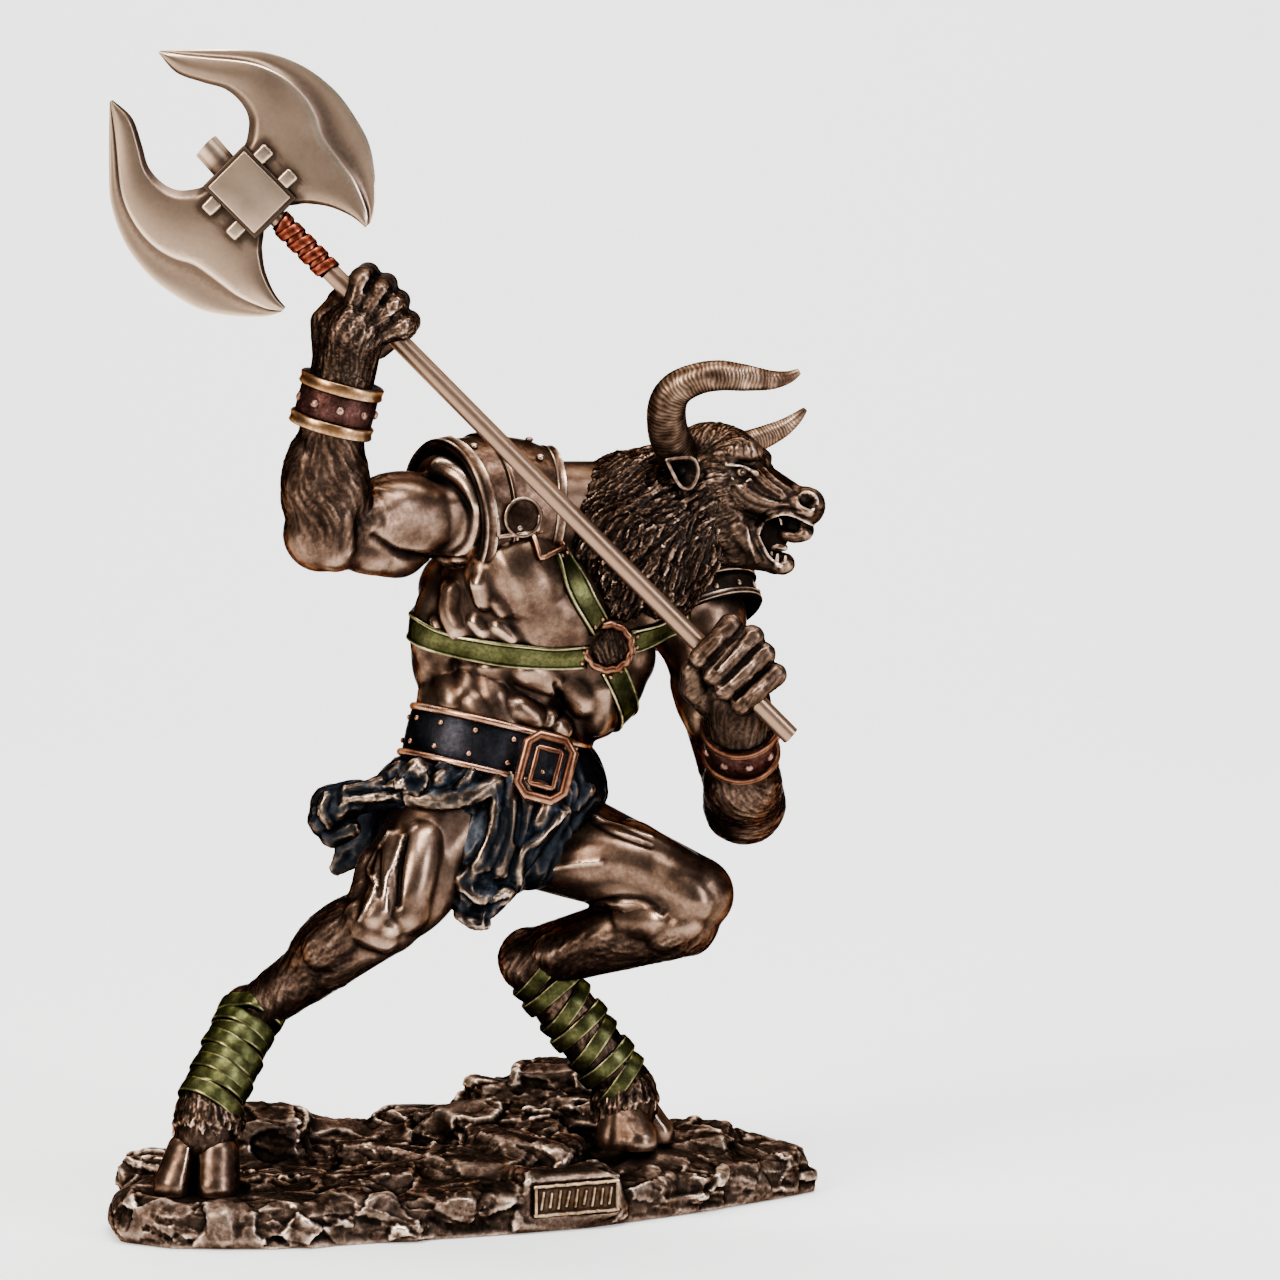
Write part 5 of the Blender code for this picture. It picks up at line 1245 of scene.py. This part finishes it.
def cuff(name, low, high, radius, trim_width, material, band_material):
    axis = (high - low).normalized()
    length = (high - low).length / MM
    front = (FRONT - axis * FRONT.dot(axis)).normalized()
    form = bmesh.new()
    centres, outs = hoop((low + high) / 2, axis, front, radius * 0.955, radius * 0.955)
    half = length / 2
    band(form, centres, outs, [(-half, -2, 0.2), (-half, 0, 0.45), (0, 0.1, 0.55), (half, 0, 0.45), (half, -2, 0.2)], True)
    for number in range(0, 72, 8):
        rivet(form, centres[number] + outs[number] * 0.1 * MM, outs[number], 1.15)
    leather = new_piece(name + "_leather", form)
    dress(leather, material, "dark_bronze", "minotaur_figure")
    form = bmesh.new()
    for place in (low + axis * trim_width / 2 * MM, high - axis * trim_width / 2 * MM):
        centres, outs = hoop(place, axis, front, radius, radius)
        half = trim_width / 2
        band(form, centres, outs, [(-half, -1.5, 0.1), (-half, 0.1, 0.4), (-half + 0.4, 0.45, 0.72), (0, 0.15, 0.52),
                                   (half - 0.4, 0.45, 0.72), (half, 0.1, 0.4), (half, -1.5, 0.1)], True)
    bands = new_piece(name + "_bands", form)
    dress(bands, band_material, "red_copper", "minotaur_figure")


cuff_leather = bronze("red_brown_leather", [(0.0, "#0a0606"), (0.4, "#231513"), (0.6, "#4a2f29"), (0.9, "#b98f7e")],
                      (0.46, 0.3), 0.5, 0.12, 0.6, "#7c6e6b")
gilt = bronze("gilt_band", [(0.0, "#170f09"), (0.4, "#553b27"), (0.6, "#97724f"), (0.9, "#f4d2a8")], (0.32, 0.2), 0.8,
              0.03, 0.4, "#a8937f")
cuff("raised_bracer", at(-31.6, -44.5, 199.3), at(-28.2, -45.3, 211.6), 9.9, 3.0, cuff_leather, gilt)
cuff("low_bracer", at(67.9, -23.8, 118.0), at(67.3, -31.6, 126.2), 9.3, 1.7, cuff_leather, copper)

leg_skin = skin_of(legs)
form = bmesh.new()
chance = random.Random(8)
for top, bottom, count, leans, width in ((FRONT_HOCK.lerp(FRONT_FETLOCK, -0.02), FRONT_FETLOCK.lerp(FRONT_HOCK, -0.04), 8,
                                          (0.02, 0.20), 4.3),
                                         (REAR_HOCK.lerp(REAR_FETLOCK, 0.02), REAR_FETLOCK.lerp(REAR_HOCK, -0.02), 7,
                                          (-0.50, -0.12), 4.2)):
    axis = (bottom - top).normalized()
    for number in range(count):
        centre = top.lerp(bottom, (number + 0.5) / count)
        lean = leans[number % 2] + chance.uniform(-0.05, 0.05)
        tilted = axis - LEFT * lean + FRONT * chance.uniform(-0.1, 0.1)
        centres, outs = girdle(leg_skin, centre, tilted, 0.35 + 0.35 * (number % 2))
        half = width / 2
        band(form, centres, outs, [(-half, -1.4, 0.05), (-half, 0.0, 0.15), (-half + 0.3, 0.35, 0.74), (-half + 0.75, 0.38, 0.5),
                                   (0, 0.5, 0.54), (half - 0.75, 0.38, 0.5), (half - 0.3, 0.35, 0.74), (half, 0.0, 0.15),
                                   (half, -1.4, 0.05)], True)
wraps = new_piece("shank_wraps", form)
dress(wraps, olive, "antique_bronze", "minotaur_figure")

# The axe head: two crescent blades with hollow-ground edges, cast with a square socket block, its face
# plate, four studs and the stub that caps the shaft. It is polished pale and brushed.
SHAFT_LINE = (at(-23.9, -40, 229.4) - at(66.0, -39.5, 138.6)).normalized()
head_low, head_high = [Vector(corner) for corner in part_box("axe_shaft")]
SHAFT_BUTT = at(66.0, -39.5, 138.6) - SHAFT_LINE * 19.3 * MM
HEAD_CENTRE = SHAFT_BUTT + SHAFT_LINE * (183.5 + 0.3 + 8.9 - 7.8) * MM
across = SHAFT_LINE.cross(FRONT).normalized()
facing = across.cross(SHAFT_LINE).normalized()


outer_line = [(-25.5, 15.2), (-23.2, 19.2), (-18.4, 23.9), (-12.3, 28.2), (-5.6, 30.4), (3, 31.6), (12.5, 30.2),
              (21.5, 25.8), (29.5, 18.5), (38.9, 8.7)]
inner_line = [(-25.4, 13.6), (-21.2, 13.1), (-16, 11), (-11.6, 7.7), (-6.5, 3), (6.5, 3), (9.4, 8.2), (12.5, 12),
              (16.5, 13.5), (21.5, 13.1), (26.5, 10.4), (32.5, 7.6), (38.7, 7.9)]


def outside(along, aside, centre, size):
    """How far a place on the head lies outside a rectangle, in mm."""
    return math.hypot(max(0.0, abs(along - centre[0]) - size[0] / 2), max(0.0, abs(aside - centre[1]) - size[1] / 2))


STUDS = [(end * 4.1, side * 8.7) for end in (-1, 1) for side in (-1, 1)]
form = bmesh.new()
layer = relief_layer(form)
LONG = 150
WIDE = 44
for side in (-1, 1):
    sheets = []
    for front in (1, -1):
        rows = []
        for step in range(LONG + 1):
            rim = curve_at(outer_line, step / LONG)
            root = curve_at(inner_line, step / LONG)
            row = []
            for cell in range(WIDE + 1):
                share = cell / WIDE
                along, aside = root + (rim - root) * share
                bevel = max(0.0, share - 0.68) / 0.32
                dome = 0.5 * math.sin(min(share / 0.68, 1) * math.pi)
                thick = 3.4 + dome * 2 if bevel == 0 else 3.4 - 2.9 * bevel - 1.9 * math.sin(bevel * math.pi) * (1 - bevel)
                edge = min(1.0, share * 7 + 0.3)
                vert = form.verts.new(HEAD_CENTRE + (SHAFT_LINE * along + across * side * aside
                                                     + facing * front * thick * edge / 2) * MM)
                # Painted light and shade: the bevel is painted dark at its root and lighter out to a painted highlight
                # on the cutting edge; the flat is painted lighter towards the bevel, with a painted highlight line at
                # the bevel's root and a painted shadow strip along the inner edge; all of it is painted darker near the
                # socket block and studs, as shade where the parts meet.
                if bevel > 0.04:
                    shade = 0.26 + 0.4 * bevel ** 1.4 + 0.3 * (cell == WIDE)
                else:
                    shade = 0.38 + 0.22 * share + 0.2 * (share > 0.64) - 0.2 * max(0.0, 1 - share * 9)
                foot = min([outside(along, aside, (0, 0), (19.0, 14.0))]
                           + [outside(along, aside * side, stud, (3.6, 4.2)) for stud in STUDS])
                vert[layer] = shade * (0.25 + 0.75 * min(1.0, foot / 2.2) ** 0.6)
                row.append(vert)
            rows.append(row)
        sheets.append(rows)
        for low, high in zip(rows[:-1], rows[1:]):
            for cell in range(WIDE):
                form.faces.new((low[cell], low[cell + 1], high[cell + 1], high[cell]))
    top, back = sheets
    for step in range(LONG):
        for cell in (0, WIDE):
            form.faces.new((top[step][cell], top[step + 1][cell], back[step + 1][cell], back[step][cell]))
    for step in (0, LONG):
        for cell in range(WIDE):
            form.faces.new((top[step][cell], top[step][cell + 1], back[step][cell + 1], back[step][cell]))
bmesh.ops.recalc_face_normals(form, faces=form.faces)
blades = new_piece("axe_blades", form)
points, normals, edges = arrays(blades.data)
axe_low, axe_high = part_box("axe_head")
move_points(blades, np.clip(points, np.array(axe_low), np.array(axe_high)))
blades.data.set_sharp_from_angle(angle=math.radians(38))


def block(form, centre, size, turn, bevel=0.5):
    """A box with softened edges. Sizes in mm."""
    made = bmesh.ops.create_cube(form, size=1.0)["verts"]
    for vert in made:
        vert.co = centre + turn @ Vector((vert.co.x * size[0], vert.co.y * size[1], vert.co.z * size[2])) * MM
    edges = list({edge for vert in made for edge in vert.link_edges})
    bmesh.ops.bevel(form, geom=edges, offset=bevel * MM, segments=3, affect="EDGES", profile=0.6)


turn = Matrix((across, -facing, SHAFT_LINE)).transposed()
form = bmesh.new()
block(form, HEAD_CENTRE, (14.0, 7.4, 17.8), turn, 0.5)
block(form, HEAD_CENTRE, (12.2, 9.2, 15.6), turn, 0.35)
for side in (-1, 1):
    for end in (-1, 1):
        block(form, HEAD_CENTRE + (SHAFT_LINE * end * 4.1 + across * side * 8.7) * MM, (4.2, 8.0, 3.6), turn, 0.9)
stub = bmesh.ops.create_cone(form, cap_ends=True, segments=40, radius1=3.35 * MM, radius2=3.35 * MM, depth=8 * MM)["verts"]
for vert in stub:
    vert.co = HEAD_CENTRE + SHAFT_LINE * 11 * MM + axes_along(SHAFT_LINE, FRONT) @ vert.co
rims = [edge for edge in {edge for vert in stub for edge in vert.link_edges} if len(edge.link_faces) == 2
        and edge.calc_face_angle() > 1]
bmesh.ops.bevel(form, geom=rims, offset=0.5 * MM, segments=3, affect="EDGES")
bmesh.ops.subdivide_edges(form, edges=form.edges[:], cuts=2, use_grid_fill=True)
layer = relief_layer(form)
# Painted shade where the socket's parts meet: the base block is painted dark, the studs dark at their foot and lighter
# outward, and the stub dark at its foot and lighter up to 4 mm along; the face plate takes a mid tone.
for vert in form.verts:
    proud = abs((vert.co - HEAD_CENTRE).dot(facing)) / MM
    along = (vert.co - HEAD_CENTRE).dot(SHAFT_LINE) / MM
    aside = abs((vert.co - HEAD_CENTRE).dot(across)) / MM
    if proud > 4.0 or along > 9.2:
        vert[layer] = 0.6 if along < 9.2 else 0.2 + 0.1 * min(4.0, along - 9.2)
    elif aside > 7.1:
        vert[layer] = min(0.8, 0.1 + 0.22 * max(0.0, proud - 1.4))
    else:
        vert[layer] = 0.2
socket = new_piece("axe_socket", form)
socket.data.set_sharp_from_angle(angle=math.radians(38))


def brushed(name, stops, rough, grain_along):
    """Pale bronze brushed one way: fine scratches lie along one direction."""
    material = bronze(name, stops, rough, 0.9, 0.015, 0.1)
    tree = material.node_tree
    shader = tree.nodes["Principled BSDF"]
    turned = node(tree, "ShaderNodeMapping", in_Rotation=grain_along)
    tree.links.new(node(tree, "ShaderNodeTexCoord").outputs["Object"], turned.inputs["Vector"])
    long = node(tree, "ShaderNodeMapping", [("Vector", turned.outputs[0])], in_Scale=(2600.0, 2600.0, 90.0))
    lines = node(tree, "ShaderNodeTexNoise", [("Vector", long.outputs[0])], in_Scale=1.0, in_Detail=2.0)
    bump = node(tree, "ShaderNodeBump", [("Height", lines.outputs["Fac"])], in_Strength=0.35, in_Distance=0.02 * MM)
    tree.links.new(bump.outputs[0], shader.inputs["Normal"])
    return material


pale = brushed("pale_brushed_bronze", [(0.0, "#15100d"), (0.3, "#564539"), (0.5, "#ac9078"), (0.66, "#d4b79b"),
                                       (0.9, "#f8e3cb")], (0.32, 0.2), (0.0, math.radians(45), 0.0))
dress(blades, pale, "pale_bronze", "axe_head")
dress(socket, pale, "pale_bronze", "axe_head")

# The shaft: a plain turned rod, satin bronze.
form = bmesh.new()
butt = bmesh.ops.create_cone(form, cap_ends=True, segments=40, radius1=2.3 * MM, radius2=2.3 * MM, depth=183.5 * MM)["verts"]
for vert in butt:
    vert.co = SHAFT_BUTT + SHAFT_LINE * 91.75 * MM + axes_along(SHAFT_LINE, FRONT) @ vert.co
rims = [edge for edge in {edge for vert in butt for edge in vert.link_edges} if edge.calc_face_angle() > 1]
bmesh.ops.bevel(form, geom=rims, offset=0.35 * MM, segments=2, affect="EDGES")
shaft = new_piece("shaft", form)
shaft.data.set_sharp_from_angle(angle=math.radians(38))
layer = shaft.data.attributes.new("relief_and_painted_light", "FLOAT", "POINT")
layer.data.foreach_set("value", [0.5] * len(shaft.data.vertices))
satin = brushed("satin_shaft_bronze", [(0.0, "#38291f"), (0.5, "#8d705b"), (0.9, "#d3b294")], (0.32, 0.22),
                (0.0, math.radians(45), 0.0))
dress(shaft, satin, "satin_bronze", "axe_shaft")

# The binding: strips of red-stained leather wound both ways over the shaft under the axe head.
form = bmesh.new()
start = HEAD_CENTRE - SHAFT_LINE * 9.3 * MM
# A near-black sleeve under the strips: painted shade in the gaps between them.
sleeve = [start - SHAFT_LINE * share * MM for share in (0.6, 6.0, 12.0, 17.4)]
for turn in (0.0, 0.5, 1.0, 1.5):
    out = across * math.cos(turn * math.pi) + facing * math.sin(turn * math.pi)
    band(form, [place + out * 1.3 * MM for place in sleeve], [out] * 4,
         [(-2.0, 0.0, 0.05), (-1.6, 0.8, 0.1), (-0.8, 1.2, 0.1), (0.8, 1.2, 0.1), (1.6, 0.8, 0.1), (2.0, 0.0, 0.05)], False)
for way, lift in ((1, 0.0), (-1, 0.25)):
    centres = []
    outs = []
    for number in range(141):
        turn = number / 140 * 4 * 2 * math.pi * way
        out = across * math.cos(turn) + facing * math.sin(turn)
        centres.append(start - SHAFT_LINE * (1.2 + number / 140 * 15.6) * MM + out * (2.6 + lift) * MM)
        outs.append(out)
    band(form, centres, outs, [(-1.4, -0.4, 0.05), (-1.4, 0.0, 0.1), (-0.9, 0.25, 0.7), (0, 0.18, 0.45),
                               (0.9, 0.25, 0.7), (1.4, 0.0, 0.1), (1.4, -0.4, 0.05)], False)
bmesh.ops.recalc_face_normals(form, faces=form.faces)
wound = new_piece("binding", form)
red_copper = bronze("red_stained_copper", [(0.0, "#120503"), (0.36, "#3a140b"), (0.55, "#6b2e1d"), (0.72, "#9a5540"), (0.95, "#eeb698")],
                    (0.4, 0.25), 0.5, 0.05, 0.7, "#8e6a5e")
dress(wound, red_copper, "red_copper", "shaft_binding")

# The name plate: a scroll-edged tablet with a raised border and strokes that spell nothing.
form = bmesh.new()
outward = Vector((0.37, -0.93, 0.0)).normalized()
plate_axes = Matrix(((-outward).cross(UP), -outward, UP)).transposed()
middle = plate_middle
block(form, middle + outward * -0.1 * MM, (22.0, 1.3, 7.8), plate_axes, 0.5)
for height in (-3.6, 3.6):
    for number in range(8):
        aside = (number - 3.5) * 2.72
        wave = 0.12 * math.sin(number * 2.1 + height)
        limb(form, middle + plate_axes @ Vector((aside - 1.4, -0.7, height + wave)) * MM,
             middle + plate_axes @ Vector((aside + 1.4, -0.7, height - wave)) * MM, 0.5, 0.5, detail=2)
for aside in (-10.7, 10.7):
    limb(form, middle + plate_axes @ Vector((aside, -0.7, -3.4)) * MM,
         middle + plate_axes @ Vector((aside, -0.7, 3.4)) * MM, 0.5, 0.5, detail=2)
for number in range(9):
    aside = (number - 4) * 2.25
    lean = (0.7, 0.5, 0.6, 0.8, 0.55, 0.65, 0.75, 0.5, 0.6)[number]
    tall = (2.0, 1.6, 2.1, 1.7, 2.0, 1.5, 2.1, 1.8, 1.9)[number]
    limb(form, middle + plate_axes @ Vector((aside - lean * 0.5, -0.62, -tall)) * MM,
         middle + plate_axes @ Vector((aside + lean * 0.5, -0.62, tall)) * MM, 0.34, 0.34, detail=2)
name_plate = one_skin("plate", form, 0.2, 2)
mark_relief(name_plate, 0.08, 0.3)
plate_finish = bronze("antique_plate_bronze", [(0.0, "#0e0907"), (0.4, "#261b14"), (0.55, "#4f3c2d"), (0.7, "#8d7154"),
                                               (0.92, "#ecd0a9")], (0.45, 0.28), 0.5, 0.03, 0.3, "#8d7a66")
dress(name_plate, plate_finish, "antique_bronze", "name_plate")

# The studio: a pale sweep, a key softbox on the left, narrower ones on the right and above, and a
# light behind that brightens the sweep and rims the figure
floor_form = bmesh.new()
sweep = [(-2.5, 0.0), (0.9, 0.0)]
sweep += [(0.9 + 0.9 * math.sin(turn), 0.9 - 0.9 * math.cos(turn)) for turn in [step / 16 * math.pi / 2 for step in range(1, 17)]]
sweep.append((1.8, 3.2))
rows = [[floor_form.verts.new((x, y, z - 0.0002)) for y, z in sweep] for x in (-3.0, 3.0)]
for step in range(len(sweep) - 1):
    floor_form.faces.new((rows[0][step], rows[1][step], rows[1][step + 1], rows[0][step + 1]))
floor = new_piece("studio_sweep", floor_form)
floor_paint = bpy.data.materials.new("pale_floor")
floor_paint.use_nodes = True
floor_shader = floor_paint.node_tree.nodes["Principled BSDF"]
floor_shader.inputs["Base Color"].default_value = colour("#f1f1f0")
floor_shader.inputs["Roughness"].default_value = 0.9
floor_shader.inputs["Emission Color"].default_value = colour("#ffffff")
floor_shader.inputs["Emission Strength"].default_value = 0.35
floor.data.materials.append(floor_paint)

world = bpy.data.worlds.new("studio")
bpy.context.scene.world = world
world.use_nodes = True
world.node_tree.nodes["Background"].inputs["Color"].default_value = colour("#dfe3ea")
world.node_tree.nodes["Background"].inputs["Strength"].default_value = 0.12


def softbox(name, place, aim, width, height, power, tone="#ffffff"):
    light = bpy.data.lights.new(name, "AREA")
    light.shape = "RECTANGLE"
    light.size = width
    light.size_y = height
    light.energy = power
    light.color = colour(tone)[:3]
    lamp = bpy.data.objects.new(name, light)
    lamp.location = place
    lamp.rotation_euler = (Vector(aim) - Vector(place)).to_track_quat("-Z", "Y").to_euler()
    bpy.context.scene.collection.objects.link(lamp)


softbox("key_left", (-0.75, -0.85, 0.75), (0, 0, 0.13), 0.40, 0.80, 26, "#fff6ec")
softbox("fill_right", (0.95, -0.75, 0.45), (0, 0, 0.12), 0.25, 0.90, 15, "#f1f5ff")
softbox("top_front", (0.15, -0.40, 1.10), (0, 0, 0.12), 0.80, 0.30, 19)
softbox("sweep_light", (0.0, 0.55, 1.60), (0, 1.5, 0.35), 2.4, 0.5, 70)

camera_data = bpy.data.cameras.new("front_view")
camera_data.lens = 36 / 2 / (160 / 1300)
camera = bpy.data.objects.new("front_view", camera_data)
camera.location = EYE * MM
camera.rotation_euler = (Vector((43, 0, 144)) - EYE).to_track_quat("-Z", "Y").to_euler()
bpy.context.scene.collection.objects.link(camera)
bpy.context.scene.camera = camera
